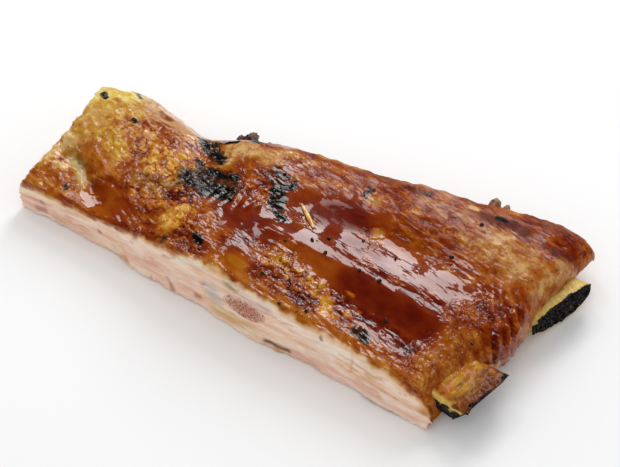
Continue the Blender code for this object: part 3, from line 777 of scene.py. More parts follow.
@dataclass(frozen=True)
class GlazePattern:
    """Where the glaze lies thick or thin over the top, and what shows through it."""

    flesh: Colour = TAN
    glaze: float = 1.8
    patches: tuple[Patch, ...] = (
        # The left end: bare gristle, a milky fold of fat, streaky browned meat and a painted pink sheen on the
        # back rim.
        Patch((((-3.0, 41.0), (9.0, 45.0), 9.0, 1.0), ((2.0, 35.0), (7.0, 32.0), 5.0, 1.0)), STRAW, 0.04),
        Patch((((4.0, 34.5), (11.0, 38.0), 2.6, 0.8), ((14.0, 29.0), (20.0, 22.0), 4.5, 1.0)), OLIVE, 0.45),
        Patch((((4.0, 28.0), (13.0, 33.0), 5.0, 0.9), ((13.0, 42.0), (20.0, 43.0), 3.0, 1.0)),
            paint(222, 192, 108), 0.4),
        Patch((((9.0, 30.0), (13.0, 24.0), 2.6, 0.8), ((6.0, 38.0), (12.0, 36.0), 1.6, 0.8)), OLIVE, 0.7),
        # Painted sheen: pale pink under a thin glaze over the back left rim, standing in for the light it
        # reflects.
        Patch((((15.0, 48.0), (30.0, 45.0), 4.6, 0.95), ((17.0, 42.5), (38.0, 40.8), 3.8, 0.95)), PAINTED_SHEEN,
            0.35, 0.5),
        Patch((((19.0, 43.0), (24.0, 41.6), 0.8, 0.8), ((27.0, 44.6), (34.0, 43.0), 0.7, 0.7),
               ((23.0, 38.4), (29.0, 38.0), 0.8, 0.8)), LIVER, 1.2, 0.8),
        Patch((((3.0, 20.5), (9.0, 21.5), 2.4, 1.0), ((10.5, 26.0), (12.0, 22.5), 1.2, 1.0)), OLIVE, 0.2),
        Patch((((9.0, 20.0), (22.0, 15.5), 2.6, 0.9),), ROSY, 0.9),
        Patch((((16.0, 32.0), (27.0, 30.0), 3.4, 1.0), ((27.0, 36.5), (32.0, 36.0), 1.8, 1.0)), TAN, 1.2),
        Patch((((4.0, 4.0), (7.0, 5.0), 3.0, 1.0), ((10.0, 4.5), (24.0, 4.5), 2.6, 1.0)), TAN, 1.3),
        Patch((((2.0, 10.0), (4.5, 18.0), 3.2, 1.0),), paint(232, 198, 140), 0.15),
        Patch((((8.0, 10.5), (10.0, 11.5), 2.0, 0.9), ((21.0, 8.5), (24.0, 7.5), 1.5, 0.9)), CREAM, 0.25),
        Patch((((3.0, 2.0), (15.0, 2.2), 1.3, 0.9),), TAN, 1.2),
        Patch((((9.0, 16.2), (21.5, 7.0), 1.7, 0.95),), MILK, 0.15, 0.8),
        # A greyish olive streak at the crease: partly the fat's own tone, partly painted shade of the fold.
        Patch((((9.5, 18.2), (14.0, 13.5), 0.9, 0.8),), paint(150, 142, 104), 0.3, 0.8),
        Patch((((25.0, 8.0), (36.0, 5.0), 4.6, 1.0),), TAN, 1.85),
        Patch((((12.0, 18.5), (19.0, 17.0), 2.6, 0.9),), TAN, 1.2),
        Patch((((22.0, 12.0), (26.0, 8.0), 1.4, 0.8),), TAN, 2.8, 0.9),
        # The middle: yellow gel, tan froth, a dry beige ridge and the first dark pools.
        Patch((((29.0, 30.0), (33.0, 22.0), 2.6, 1.0), ((37.0, 30.0), (42.0, 23.0), 3.4, 1.0)), GOLD, 1.1),
        Patch((((34.0, 17.0), (46.0, 17.5), 3.2, 1.0),), paint(170, 124, 70), 0.9),
        Patch((((36.0, 6.0), (46.0, 5.0), 4.5, 1.0),), TAN, 2.7),
        Patch((((50.0, 11.0), (54.0, 6.5), 3.4, 1.0),), GOLD, 0.9, 0.8),
        Patch((((57.0, 5.0), (63.0, 4.0), 3.5, 1.0),), ROSY, 3.2),
        Patch((((47.5, 41.5), (50.0, 37.0), 4.0, 1.0), ((52.0, 41.5), (58.0, 42.0), 3.0, 1.0)), BEIGE, 0.5),
        Patch((((49.0, 48.0), (60.0, 50.0), 3.4, 0.9),), TAN, 2.2),
        Patch((((61.0, 46.5), (67.0, 48.0), 3.3, 0.95),), BEIGE, 0.35),
        Patch((((53.0, 36.5), (66.0, 33.0), 3.0, 1.0),), TAN, 2.3),
        Patch((((47.0, 26.0), (58.0, 24.0), 4.6, 0.9), ((66.0, 36.0), (73.0, 28.0), 3.6, 0.9)), SMOKE, 2.6,
            0.8),
        Patch((((47.0, 17.0), (55.0, 18.0), 3.0, 0.95),), TAN, 3.8),
        Patch((((57.0, 17.5), (60.0, 30.0), 3.0, 1.0), ((62.0, 28.0), (68.0, 30.0), 3.2, 1.0)), TAN, 2.6),
        Patch((((66.0, 20.0), (76.0, 19.0), 6.0, 1.0), ((71.0, 11.0), (73.0, 13.0), 4.0, 1.0)), TAN, 3.6),
        Patch((((66.0, 44.0), (80.0, 46.0), 4.0, 1.0), ((72.0, 51.0), (80.0, 51.5), 1.6, 1.0)), TAN, 2.0),
        Patch((((80.0, 51.0), (93.0, 52.0), 3.2, 1.0), ((64.0, 53.0), (67.0, 51.0), 2.2, 1.0)), TAN, 2.3),
        Patch((((70.0, 55.0), (82.0, 56.5), 3.0, 1.0),), BEIGE, 1.0),
        Patch((((84.0, 57.5), (90.0, 56.0), 2.6, 0.9),), LIVER, 2.0),
        # Between the ribs: the long pools, amber at the sides and almost black where they are deepest.
        Patch((((76.0, 33.0), (84.0, 38.0), 5.0, 1.0),), TAN, 2.7, 0.8),
        Patch((((84.0, 31.0), (94.0, 37.0), 5.0, 1.0), ((90.0, 38.0), (98.0, 37.0), 3.5, 1.0)), TAN, 4.4,
            0.9),
        Patch((((104.0, 34.5), (113.0, 35.0), 3.2, 1.0),), TAN, 2.1, 0.8),
        Patch((((98.0, 41.5), (128.0, 40.5), 4.6, 1.0),), TAN, 2.3, 0.7),
        Patch((((99.0, 35.5), (102.0, 32.0), 2.0, 1.0), ((92.0, 44.5), (93.0, 44.5), 2.2, 1.0)), BEIGE, 0.95),
        Patch((((88.0, 16.5), (102.0, 16.0), 3.4, 1.0),), TAN, 2.0),
        Patch((((106.0, 17.0), (130.0, 15.0), 5.0, 1.0), ((107.0, 11.0), (126.0, 9.0), 3.2, 1.0)), TAN, 4.2,
            0.8),
        Patch((((84.0, 6.0), (99.0, 6.0), 3.4, 1.0),), ROSY, 3.4, 0.8),
        Patch((((84.0, 11.5), (99.0, 10.5), 1.8, 0.9),), OLIVE, 1.6, 0.9),
        Patch((((102.0, 9.0), (103.5, 5.0), 1.7, 1.0), ((105.0, 14.5), (106.6, 14.2), 0.7, 0.8),
               ((109.7, 11.0), (110.3, 11.0), 0.6, 0.8)), GOLD, 0.7),
        Patch((((70.0, 1.6), (139.0, 1.0), 1.7, 1.0),), TAN, 1.3),
        Patch((((75.0, 5.0), (78.0, 5.0), 1.4, 1.0),), OLIVE, 1.2),
        Patch((((77.0, 21.8), (130.0, 22.5), 2.6, 1.0), ((87.0, 27.5), (112.0, 28.0), 4.4, 1.0)), TAN, 3.2,
            0.7),
        Patch((((114.0, 28.0), (131.0, 29.0), 4.4, 1.0),), TAN, 2.9, 0.7),
        # The right end: crumpled skin, fanned folds, the dry pad and its dark edges.
        Patch((((133.0, 4.0), (136.0, 20.0), 4.8, 1.0),), TAN, 1.45),
        Patch((((134.0, 22.0), (136.0, 30.0), 4.0, 1.0),), TAN, 1.9),
        Patch((((135.5, 31.0), (136.5, 33.0), 2.6, 1.0), ((141.0, 33.0), (147.0, 21.0), 5.0, 1.0)), ROSY,
            2.8),
        Patch((((100.0, 49.0), (125.0, 50.0), 4.8, 1.0),), TAN, 2.4, 0.8),
        Patch((((130.0, 49.5), (147.0, 48.0), 7.2, 1.0),), BEIGE, 1.05, 0.6),
        Patch((((133.0, 57.5), (140.0, 57.0), 3.2, 0.95),), TAN, 3.0, 0.8),
        Patch((((137.0, 37.0), (148.0, 40.0), 3.0, 0.8),), ROSY, 1.8, 0.8),
        Patch((((120.0, 57.0), (131.0, 58.8), 2.3, 0.95), ((141.5, 58.0), (146.5, 61.0), 2.3, 0.95)),
            MAROON, 1.5, 0.45),
        Patch((((115.2, 58.6), (116.0, 58.8), 1.0, 1.0),), CREAM, 0.2),
        Patch((((97.0, 54.0), (104.0, 54.5), 1.6, 0.9), ((131.0, 65.0), (135.0, 66.0), 1.8, 0.8)), LIVER,
            2.4),
        Patch((((132.0, 66.5), (147.0, 66.0), 4.6, 0.95),), TAN, 3.0),
    )
    char: Strokes = (
        ((37.5, 39.5), (40.0, 38.5), 1.9, 1.0), ((41.0, 40.0), (46.5, 35.5), 1.7, 1.0),
        ((41.5, 31.5), (43.0, 31.0), 1.2, 1.0), ((46.0, 25.0), (55.0, 25.5), 4.2, 1.0),
        ((47.0, 29.5), (56.0, 31.0), 1.6, 1.0), ((57.0, 25.0), (59.5, 23.0), 1.2, 0.9),
        ((65.0, 38.0), (68.0, 38.6), 1.2, 1.0), ((70.5, 38.0), (71.5, 36.0), 0.9, 1.0),
        ((69.0, 33.5), (71.5, 28.0), 2.1, 1.0), ((72.5, 26.5), (76.5, 24.5), 1.1, 1.0),
        ((89.0, 47.5), (90.0, 45.0), 1.1, 1.0), ((30.0, 46.5), (36.0, 47.5), 1.4, 0.9),
        ((47.0, 49.0), (50.5, 47.0), 1.6, 0.8), ((42.0, 42.5), (46.0, 43.5), 0.9, 0.8),
        ((113.8, 5.6), (117.0, 5.4), 1.5, 0.9), ((123.0, 58.8), (127.0, 59.6), 0.8, 0.8),
        ((51.5, 2.2), (53.5, 2.0), 1.0, 0.8), ((61.0, 6.7), (63.0, 6.3), 0.8, 0.9),
        ((98.5, 54.5), (103.5, 54.5), 0.8, 0.7), ((0.6, 39.0), (2.0, 38.0), 1.0, 0.9),
        ((7.0, 47.5), (9.5, 45.0), 0.8, 0.7), ((16.0, 34.5), (17.5, 33.5), 0.7, 0.7),
        ((15.0, 5.5), (16.5, 4.5), 0.8, 0.7),
    )
    dry: Strokes = (
        ((125.0, 50.0), (148.0, 49.0), 8.0, 1.0), ((104.0, 53.0), (122.0, 52.0), 4.0, 0.7),
        ((132.0, 69.0), (148.0, 67.0), 4.5, 0.4), ((47.5, 40.0), (60.0, 42.5), 3.6, 0.9),
        ((3.0, 30.0), (10.0, 30.0), 4.5, 0.5), ((-3.0, 41.0), (10.0, 45.0), 6.0, 0.4),
        ((62.0, 53.0), (112.0, 60.0), 3.4, 0.5), ((112.0, 64.0), (132.0, 69.0), 2.4, 0.4),
    )
    soaked: Strokes = (
        ((58.0, 57.0), (112.0, 62.5), 3.6, 0.92), ((112.0, 62.5), (149.0, 69.0), 4.6, 0.92),
        ((119.0, 57.5), (132.0, 59.5), 3.4, 0.95), ((140.0, 58.0), (149.0, 62.0), 3.6, 0.95),
        ((132.0, 57.0), (140.0, 57.0), 3.0, 0.7), ((98.0, 54.5), (119.0, 56.0), 3.6, 0.7),
        ((46.0, 48.5), (54.0, 49.5), 3.0, 0.75), ((97.0, 28.5), (104.0, 28.5), 2.8, 0.35),
        ((100.0, 49.0), (126.0, 49.0), 4.0, 0.65), ((74.0, 48.0), (98.0, 50.0), 4.0, 0.6),
        ((72.0, 42.0), (96.0, 41.0), 4.0, 0.5), ((128.0, 42.0), (141.0, 40.0), 4.0, 0.5),
        ((64.0, 52.5), (94.0, 55.0), 3.6, 0.92), ((96.0, 42.0), (128.0, 45.0), 6.0, 0.65),
        ((84.0, 34.0), (94.0, 36.0), 4.0, 0.85), ((148.0, 40.0), (149.0, 58.0), 2.4, 0.8),
    )
    # Places where the sides keep the top's colours; the first stroke lets the straw end and the painted sheen run
    # over the back left rim's rounding.
    bare_rim: Strokes = (
        ((-9.0, 48.0), (42.0, 47.0), 7.0, 0.95), ((-6.0, 46.0), (1.0, 14.0), 2.6, 0.8),
        ((83.0, 57.0), (92.0, 58.0), 2.6, 0.75), ((49.0, 48.5), (55.0, 49.5), 2.4, 0.75),
    )
    still: Strokes = (
        ((25.0, 7.5), (35.0, 5.0), 4.6, 1.0), ((66.0, 19.5), (76.0, 19.0), 5.5, 1.0),
        ((77.0, 33.0), (96.0, 37.0), 6.0, 1.0), ((92.0, 16.5), (130.0, 15.5), 4.5, 1.0),
        ((104.0, 34.0), (112.0, 34.5), 3.4, 1.0), ((78.0, 21.5), (99.0, 22.0), 3.5, 0.9),
        ((88.0, 29.0), (98.0, 30.0), 4.4, 1.0), ((106.0, 29.0), (130.0, 30.0), 5.0, 0.85),
        ((26.0, 42.5), (44.0, 45.0), 5.5, 0.8), ((66.0, 6.0), (80.0, 5.0), 4.0, 0.7),
        ((53.0, 50.0), (62.0, 52.5), 3.5, 0.7),
    )


@dataclass(frozen=True)
class SurfaceRelief:
    """The small forms of the top: gel, wrinkles, folds, crumpled skin and burnt pits. Heights are
    millimetres."""

    gel: Strokes = (
        ((24.0, 28.0), (42.0, 24.0), 6.0, 1.0), ((49.0, 12.0), (55.0, 6.0), 4.5, 0.9),
        ((84.0, 10.5), (106.0, 8.0), 3.6, 0.9), ((18.0, 30.0), (28.0, 34.0), 4.0, 0.7),
        ((36.0, 14.0), (46.0, 12.0), 4.0, 0.6), ((97.0, 35.0), (102.0, 31.0), 2.4, 0.5),
        ((106.0, 45.0), (128.0, 44.0), 2.6, 0.5),
    )
    shards: Strokes = (
        ((17.0, 29.0), (43.0, 25.0), 7.5, 1.0), ((33.0, 16.0), (48.0, 15.0), 5.0, 0.9),
        ((50.0, 12.0), (56.0, 6.0), 4.0, 0.8), ((85.0, 10.0), (106.0, 8.0), 4.0, 0.9),
        ((18.0, 31.0), (30.0, 35.0), 3.5, 0.7), ((97.0, 35.0), (102.0, 31.0), 2.4, 0.4),
        ((131.0, 4.0), (136.0, 19.0), 5.0, 0.15), ((131.0, 24.0), (136.0, 29.0), 3.5, 0.2),
        ((100.0, 46.0), (128.0, 45.0), 2.6, 0.5), ((59.0, 29.0), (67.0, 29.0), 2.6, 0.6),
    )
    crumpled: Strokes = (
        ((132.0, 3.0), (136.0, 18.0), 5.0, 1.0), ((132.0, 22.0), (137.0, 31.0), 4.0, 0.9),
        ((84.0, 4.0), (100.0, 4.0), 2.6, 0.5),
    )
    folded: Strokes = (((139.0, 33.0), (148.0, 19.0), 5.5, 1.0),)
    fold_turn: float = -50.0  # degrees
    fold_width: float = 2.5
    wrinkled: Strokes = (
        ((66.0, 44.0), (98.0, 44.5), 4.5, 1.0), ((94.0, 40.5), (128.0, 40.0), 5.0, 1.0),
        ((104.0, 31.0), (128.0, 28.5), 3.0, 0.35), ((32.0, 13.0), (48.0, 9.0), 4.5, 0.8),
    )
    frothy: Strokes = (((34.0, 17.0), (45.0, 18.0), 3.2, 1.0),)
    rippled: Strokes = (((59.0, 23.0), (66.0, 28.0), 5.5, 1.0),)
    ripple_centre: tuple[float, float] = (73.0, 25.0)
    streaky: Strokes = (
        ((6.0, 22.0), (30.0, 15.0), 9.0, 1.0), ((36.0, 6.0), (56.0, 8.0), 7.0, 0.8),
        ((4.0, 8.0), (20.0, 4.0), 5.0, 0.5),
    )
    crease: Strokes = (
        ((2.0, 17.2), (12.0, 15.6), 0.75, -1.1), ((12.0, 15.6), (23.0, 8.6), 0.8, -0.7),
        ((24.0, 12.5), (31.0, 12.5), 0.9, -0.5), ((3.5, 22.6), (11.0, 24.6), 0.8, 0.55),
        ((11.0, 27.0), (12.5, 22.0), 0.8, 0.5), ((12.5, 14.2), (20.5, 7.6), 0.9, 0.45),
        ((40.0, 11.4), (48.5, 10.6), 1.4, 0.35), ((46.0, 6.5), (57.6, 8.0), 1.4, 0.35),
        ((46.0, 33.0), (60.0, 31.6), 1.5, 0.35), ((33.0, 20.5), (41.0, 19.0), 1.3, 0.3),
        ((24.0, 26.5), (31.0, 24.5), 1.2, 0.25),
    )

    def folds(self, points: np.ndarray, plan: np.ndarray, grain: Grain) -> np.ndarray:
        """How far the fanned folds of skin at the right end stand out."""
        across = turned(points, self.fold_turn)[:, 1] + 0.9 * grain.at(points,
            5.0) + 0.25 * grain.at(points, 1.8)
        wave = np.sin(2.0 * math.pi * across / self.fold_width)
        return cover(plan, self.folded, 0.6) * 0.34 * (wave - 0.35 * wave * wave)

    def heights(self, points: np.ndarray, plan: np.ndarray, grain: Grain, still: np.ndarray,
                char: np.ndarray) -> np.ndarray:
        """How far each point of the top stands out from the smooth form.

        Args:
            points: the smooth form's points.
            plan: their plan places, pushed about a little so that no border is straight.
            grain: the grain to read.
            still: 1 in the smooth pools.
            char: 1 where it is burnt.

        Returns:
            Millimetres outwards.
        """
        lively = 1.0 - 0.9 * still
        flow = turned(points, -8.0)
        total = 0.2 * grain.at(points, 13.0) + 0.2 * grain.at(flow, (8.5, 2.6, 6.0)) * lively
        total += 0.22 * (ease(grain.at(flow + 30.0, (4.6, 1.3, 3.0)), -0.05, 0.6) - 0.25) * lively
        total += relief(plan, self.crease)
        gel = cover(plan, self.gel, 0.6)
        total += gel * 0.55 * ease(grain.at(points, 2.3), -0.1, 0.7)
        crumpled = cover(plan, self.crumpled, 0.6)
        crinkles = turned(points, -55.0)
        total += crumpled * (0.5 * grain.ridges(crinkles, (3.0, 1.3, 3.0)) - 0.2)
        total += self.folds(points, plan, grain)
        wrinkles = turned(points, 3.0)
        total += cover(plan, self.wrinkled, 0.6) * 0.16 * grain.at(wrinkles, (2.6, 0.85, 3.0))
        total += cover(plan, self.frothy, 0.5) * 0.14 * grain.at(points, 0.9)
        away = np.linalg.norm(plan - np.array(self.ripple_centre), axis=1) + 0.7 * grain.at(points, 5.0)
        total += cover(plan, self.rippled, 0.6) * 0.2 * np.sin(away * 2.0 * math.pi / 2.9)
        streaks = turned(points, -24.0)
        total += cover(plan, self.streaky, 0.6) * 0.26 * grain.at(streaks, (7.0, 1.15, 3.0))
        total += char * 0.45 * grain.rough(points, 3.0, 2)
        return total


@dataclass(frozen=True)
class CutFace:
    """The knife cut along the front: its pale meat, its marks, a painted shade at its foot and the glaze's lower
    border.
    """

    flesh: Colour = paint(248, 212, 186)
    border: Knots = (
        (0.0, 8.2), (10.0, 9.8), (25.0, 9.8), (38.0, 10.8), (50.0, 13.0), (60.0, 14.6), (68.0, 16.4),
        (85.0, 15.6), (98.0, 14.6), (110.0, 14.6), (122.0, 13.2), (132.0, 11.2), (141.0, 7.0),
    )
    bone_at: tuple[float, float] = (82.0, 7.9)
    bone_reach: tuple[float, float] = (7.5, 4.2)
    bone_sink: float = 0.2
    band: Colour = paint(226, 190, 128)
    band_depth: float = 1.7
    marks: tuple[Patch, ...] = (
        Patch((((88.0, 12.6), (128.0, 9.6), 1.5, 0.8), ((100.0, 5.4), (132.0, 3.6), 0.5, 0.7),
               ((40.0, 8.8), (62.0, 12.6), 1.2, 0.6), ((12.0, 5.2), (30.0, 7.6), 0.6, 0.6)),
              paint(255, 240, 222), edge=0.9),
        Patch((((98.0, 3.2), (137.0, 2.6), 1.6, 0.7), ((94.0, 10.6), (112.0, 8.2), 0.5, 0.5),
               ((44.0, 4.6), (64.0, 6.8), 2.4, 0.6), ((4.0, 3.4), (26.0, 2.6), 1.8, 0.6)),
              paint(236, 190, 176), edge=0.9),
        Patch((((97.0, 9.6), (118.0, 8.4), 0.26, 0.8), ((104.0, 7.2), (130.0, 5.6), 0.26, 0.7),
               ((86.0, 10.6), (98.0, 11.6), 0.24, 0.7), ((112.0, 10.8), (126.0, 8.8), 0.22, 0.6),
               ((18.0, 3.4), (30.0, 4.6), 0.26, 0.6), ((2.0, 5.0), (14.0, 6.4), 0.28, 0.6)),
              paint(206, 158, 108), edge=1.2),
        Patch((((8.0, 3.0), (10.5, 3.2), 1.1, 0.7), ((10.0, 5.8), (10.6, 6.0), 0.7, 0.6),
               ((66.0, 3.6), (67.0, 3.6), 0.8, 0.8), ((56.5, 3.6), (58.6, 1.0), 0.6, 0.8),
               ((69.0, 9.5), (68.0, 8.5), 0.8, 0.6), ((50.5, 1.5), (51.0, 0.2), 0.5, 0.5),
               ((54.5, 10.8), (58.5, 12.2), 0.4, 0.6)), paint(176, 124, 112), edge=0.8),
        Patch((((36.5, 2.4), (40.5, 2.2), 1.6, 0.7), ((15.0, 1.8), (17.0, 2.0), 1.4, 0.5),
               ((102.5, 5.2), (108.5, 6.2), 0.9, 0.8), ((121.0, 8.4), (125.0, 9.8), 0.8, 0.6),
               ((118.0, 5.0), (125.0, 4.2), 0.9, 0.5), ((116.0, 7.0), (116.0, 13.0), 0.4, 0.5),
               ((137.5, 5.5), (138.5, 9.5), 1.5, 0.9)), paint(206, 152, 92), edge=0.8),
        Patch((((90.0, 2.2), (97.0, 2.0), 0.75, 1.0), ((31.0, 6.2), (31.4, 6.0), 0.5, 0.8),
               ((43.0, 9.0), (43.4, 8.8), 0.4, 0.7), ((106.4, 12.9), (106.6, 12.4), 0.5, 0.9),
               ((130.5, 8.6), (130.8, 8.2), 0.35, 0.7), ((132.0, 8.6), (132.3, 8.2), 0.35, 0.6),
               ((9.5, 6.3), (10.3, 5.6), 0.35, 0.5)), paint(112, 82, 66), edge=0.9),
        Patch((((82.0, 13.2), (90.0, 12.6), 1.1, 0.7), ((86.0, 14.2), (87.0, 14.8), 0.8, 0.4)),
              paint(196, 160, 168), edge=0.9),
        Patch((((86.0, 14.8), (90.0, 15.4), 0.9, 0.9), ((60.0, 13.6), (69.0, 15.4), 1.1, 0.8),
               ((24.0, 6.6), (29.0, 4.6), 0.8, 0.7), ((104.0, 9.0), (110.0, 8.6), 1.2, 0.7),
               ((118.0, 12.4), (120.0, 12.6), 0.9, 0.6)), paint(246, 232, 212), edge=0.9),
        Patch((((76.5, 14.2), (79.0, 13.8), 1.3, 0.9),), paint(170, 150, 124), edge=0.8),
        Patch((((79.6, 14.0), (79.9, 14.0), 0.7, 1.0),), paint(206, 168, 60), edge=0.6),
        Patch((((80.4, 14.6), (80.7, 14.4), 0.55, 1.0),), paint(110, 34, 24), edge=0.6),
        Patch((((71.5, 9.0), (72.5, 7.0), 2.4, 0.8),), paint(206, 200, 198), edge=0.9),
        Patch((((73.0, 3.2), (86.0, 3.2), 1.5, 0.7), ((93.8, 0.6), (94.6, 0.4), 0.9, 0.9)),
            paint(214, 178, 112),
              edge=0.9),
        # Painted shade: a darker strip at the foot of the cut, from x 120 to 130, where the slab meets the table.
        Patch((((120.0, 0.3), (130.0, 0.3), 0.8, 0.7),), paint(150, 122, 100), edge=0.9),
    )


@dataclass
class GlazedMeat:
    """The slab of meat, with all its relief in the mesh and its colours in vertex layers."""

    form: SlabForm
    pattern: GlazePattern
    surface: SurfaceRelief
    cut: CutFace
    finish: GlazedMeatFinish
    cells: tuple[int, int, int] = (336, 150, 30)  # along, across and up
    under_step: int = 3  # the underside's faces are this many times longer
    crowding: float = 0.22
    seed: int = 11

    def build(self) -> bpy.types.Object:
        """Builds the slab, raises its relief, paints its layers and dresses it."""
        box, faces = self.unit_box()
        smooth = self.form.points(box)
        made = make_mesh("glazed_meat", smooth, faces)
        normals = normals_of(made)
        grain = Grain(self.seed)
        weights = self.side_weights(normals)
        shaken = self.shaken_plan(smooth, grain)
        still = cover(shaken, self.pattern.still, 0.45) * weights[Side.TOP]
        char = cover(shaken, self.pattern.char, 0.85) * np.maximum(weights[Side.TOP], weights[Side.BACK])
        rise = weights[Side.TOP] * self.surface.heights(smooth, shaken, grain, still, char)
        rise += self.side_relief(smooth, weights, grain)
        set_points(made, self.settled(smooth + normals * rise[:, None], weights, grain))
        self.paint(made, smooth, shaken, weights, rise, still, char, grain)
        made.data.materials.append(self.finish.material())
        declare(made, Slot.MEAT, "meat")
        return made

    def unit_box(self) -> tuple[np.ndarray, list]:
        """A closed box of fine cells, its underside of coarser ones.

        Returns:
            The points as shares of length, width and thickness, and the faces.
        """
        nu, nv, nw = self.cells
        stride = np.array([(nv + 1) * (nw + 1), nw + 1, 1])
        quads = []
        for side in Side:
            if side is Side.UNDER:
                continue
            axis, end = side.value
            first, second = [k for k in range(3) if k != axis]
            a, b = np.meshgrid(np.arange(self.cells[first]), np.arange(self.cells[second]), indexing="ij")
            corner = np.zeros((a.size, 3), int)
            corner[:, axis] = int(end) * self.cells[axis]
            corner[:, first], corner[:, second] = a.ravel(), b.ravel()
            base = corner @ stride
            ring = [base, base + stride[first], base + stride[first] + stride[second], base + stride[second]]
            outward = (end == 1.0) == (axis != 1)
            quads.append(np.column_stack(ring if outward else ring[::-1]))
        keys = [tuple(row) for row in np.vstack(quads).tolist()]
        keys += self.under_faces(stride)
        used = np.unique(np.concatenate([np.array(key) for key in keys]))
        number = {int(key): i for i, key in enumerate(used)}
        faces = [tuple(number[k] for k in key) for key in keys]
        box = np.column_stack([used // stride[0], used % stride[0] // stride[1], used % stride[1]])
        box = box / np.array(self.cells, float)
        for axis in (0, 1):
            box[:, axis] -= self.crowding * np.sin(2.0 * math.pi * box[:, axis]) / (2.0 * math.pi)
        return box, faces

    def under_faces(self, stride: np.ndarray) -> list[tuple[int, ...]]:
        """The underside's faces, larger than the rest but with every point of the rim in them."""
        nu, nv, _ = self.cells
        step = self.under_step
        faces = []
        for i, j in itertools.product(range(0, nu, step), range(0, nv, step)):
            left = range(j, j + step + 1) if i == 0 else (j, j + step)
            far = range(i, i + step + 1) if j + step == nv else (i, i + step)
            right = range(j, j + step + 1) if i + step == nu else (j, j + step)
            near = range(i, i + step + 1) if j == 0 else (i, i + step)
            ring = [(i, b) for b in left] + [(a, j + step) for a in far][1:]
            ring += [(i + step, b) for b in right][-2::-1] + [(a, j) for a in near][-2:0:-1]
            faces.append(tuple(int(a * stride[0] + b * stride[1]) for a, b in ring))
        return faces

    def side_weights(self, normals: np.ndarray) -> dict[Side, np.ndarray]:
        """How far each point belongs to each side, from the way it faces."""
        weights = {}
        for side in Side:
            axis, end = side.value
            weights[side] = ease(normals[:, axis] * (1.0 if end else -1.0), 0.15, 0.75)
        return weights

    def shaken_plan(self, points: np.ndarray, grain: Grain) -> np.ndarray:
        """Plan places pushed about, so that the borders of patches wander."""
        push = np.column_stack([
            1.1 * grain.at(points + 40.0, 6.0) + 0.5 * grain.at(points + 50.0, 2.0),
            0.9 * grain.at(points + 60.0, 6.0) + 0.45 * grain.at(points + 70.0, 2.0),
        ])
        return points[:, :2] + push

    def side_relief(self, points: np.ndarray, weights: dict[Side, np.ndarray], grain: Grain) -> np.ndarray:
        """The relief of the cut, the torn ends, the back and the bone side."""
        fibres = 0.20 * grain.at(points, (9.0, 2.0, 0.9)) + 0.10 * grain.at(points, (4.0, 1.0, 0.5))
        from_bone = (points[:, [0, 2]] - np.array(self.cut.bone_at)) / np.array(self.cut.bone_reach)
        bony = 1.0 - ease(np.linalg.norm(from_bone, axis=1), 0.8, 1.05)
        rise = weights[Side.FRONT] * ((fibres + 0.10 * grain.at(points,
            7.0)) * (1.0 - bony) - self.cut.bone_sink * bony)
        ragged = 0.45 * grain.rough(points, 3.0)
        rise += (weights[Side.LEFT] + weights[Side.RIGHT]) * (ragged + 0.2 * grain.at(points,
            (1.0, 3.0, 1.0)))
        rise += weights[Side.RIGHT] * self.surface.folds(points, points[:, :2], grain)
        rise += weights[Side.BACK] * 0.4 * grain.rough(points, 4.0)
        membrane = 0.22 * grain.at(points, (14.0, 2.6, 5.0)) + 0.15 * grain.rough(points, 4.0)
        rise += weights[Side.UNDER] * np.minimum(membrane - 0.25, 0.0)
        return rise

    def settled(self, points: np.ndarray, weights: dict[Side, np.ndarray], grain: Grain) -> np.ndarray:
        """Keeps the slab on the table and lets the cut's lower rim wave a little."""
        low = 1.0 - ease(points[:, 2], 0.0, 2.5)
        wave = 0.5 * grain.at(points, (5.0, 5.0, 50.0)) + 0.35 * grain.at(points, (1.4, 3.0, 50.0))
        points[:, 1] += low * weights[Side.FRONT] * wave
        points[:, 2] = np.maximum(points[:, 2], 0.0)
        return points

    def paint(self, made: bpy.types.Object, points: np.ndarray, shaken: np.ndarray, weights: dict,
              rise: np.ndarray, still: np.ndarray, char: np.ndarray, grain: Grain) -> None:
        """Fills the vertex layers that the finish reads.

        Args:
            made: the slab.
            points: its smooth form's points.
            shaken: their wandering plan places.
            weights: how far they belong to each side.
            rise: the relief at each point.
            still: 1 in the smooth pools.
            char: 1 where it is burnt.
            grain: the grain to read.
        """
        flesh = np.tile(np.array(self.pattern.flesh), (len(points), 1))
        glaze = np.full(len(points), self.pattern.glaze)
        for patch in self.pattern.patches:
            share = cover(shaken, patch.strokes, patch.edge)
            if patch.flesh is not None:
                flesh = blend(flesh, np.array(patch.flesh), share[:, None])
            if patch.glaze is not None:
                glaze = blend(glaze, patch.glaze, share)
        lively = 1.0 - 0.85 * still
        glaze = glaze * (1.0 + lively * (0.32 * grain.rough(points + 9.0, 3.6, 2) - 0.6 * np.clip(rise,
            -0.5, 0.5)))
        wall = np.maximum.reduce([weights[Side.BACK], weights[Side.RIGHT], weights[Side.LEFT]])
        wall = wall * (1.0 - weights[Side.TOP]) * (1.0 - cover(points[:, :2], self.pattern.bare_rim, 0.3))
        flesh = blend(flesh, np.array(ROSY), 0.6 * wall[:, None])
        wall = wall * (1.0 - cover(points[:, :2], self.surface.folded, 0.5))
        glaze = blend(glaze, 1.5 + 0.6 * grain.rough(points, 4.0), wall)
        under = weights[Side.UNDER]
        flesh = blend(flesh, np.array(BEIGE), under[:, None])
        glaze = blend(glaze, 1.0 + 0.7 * grain.rough(points, 6.0), under)

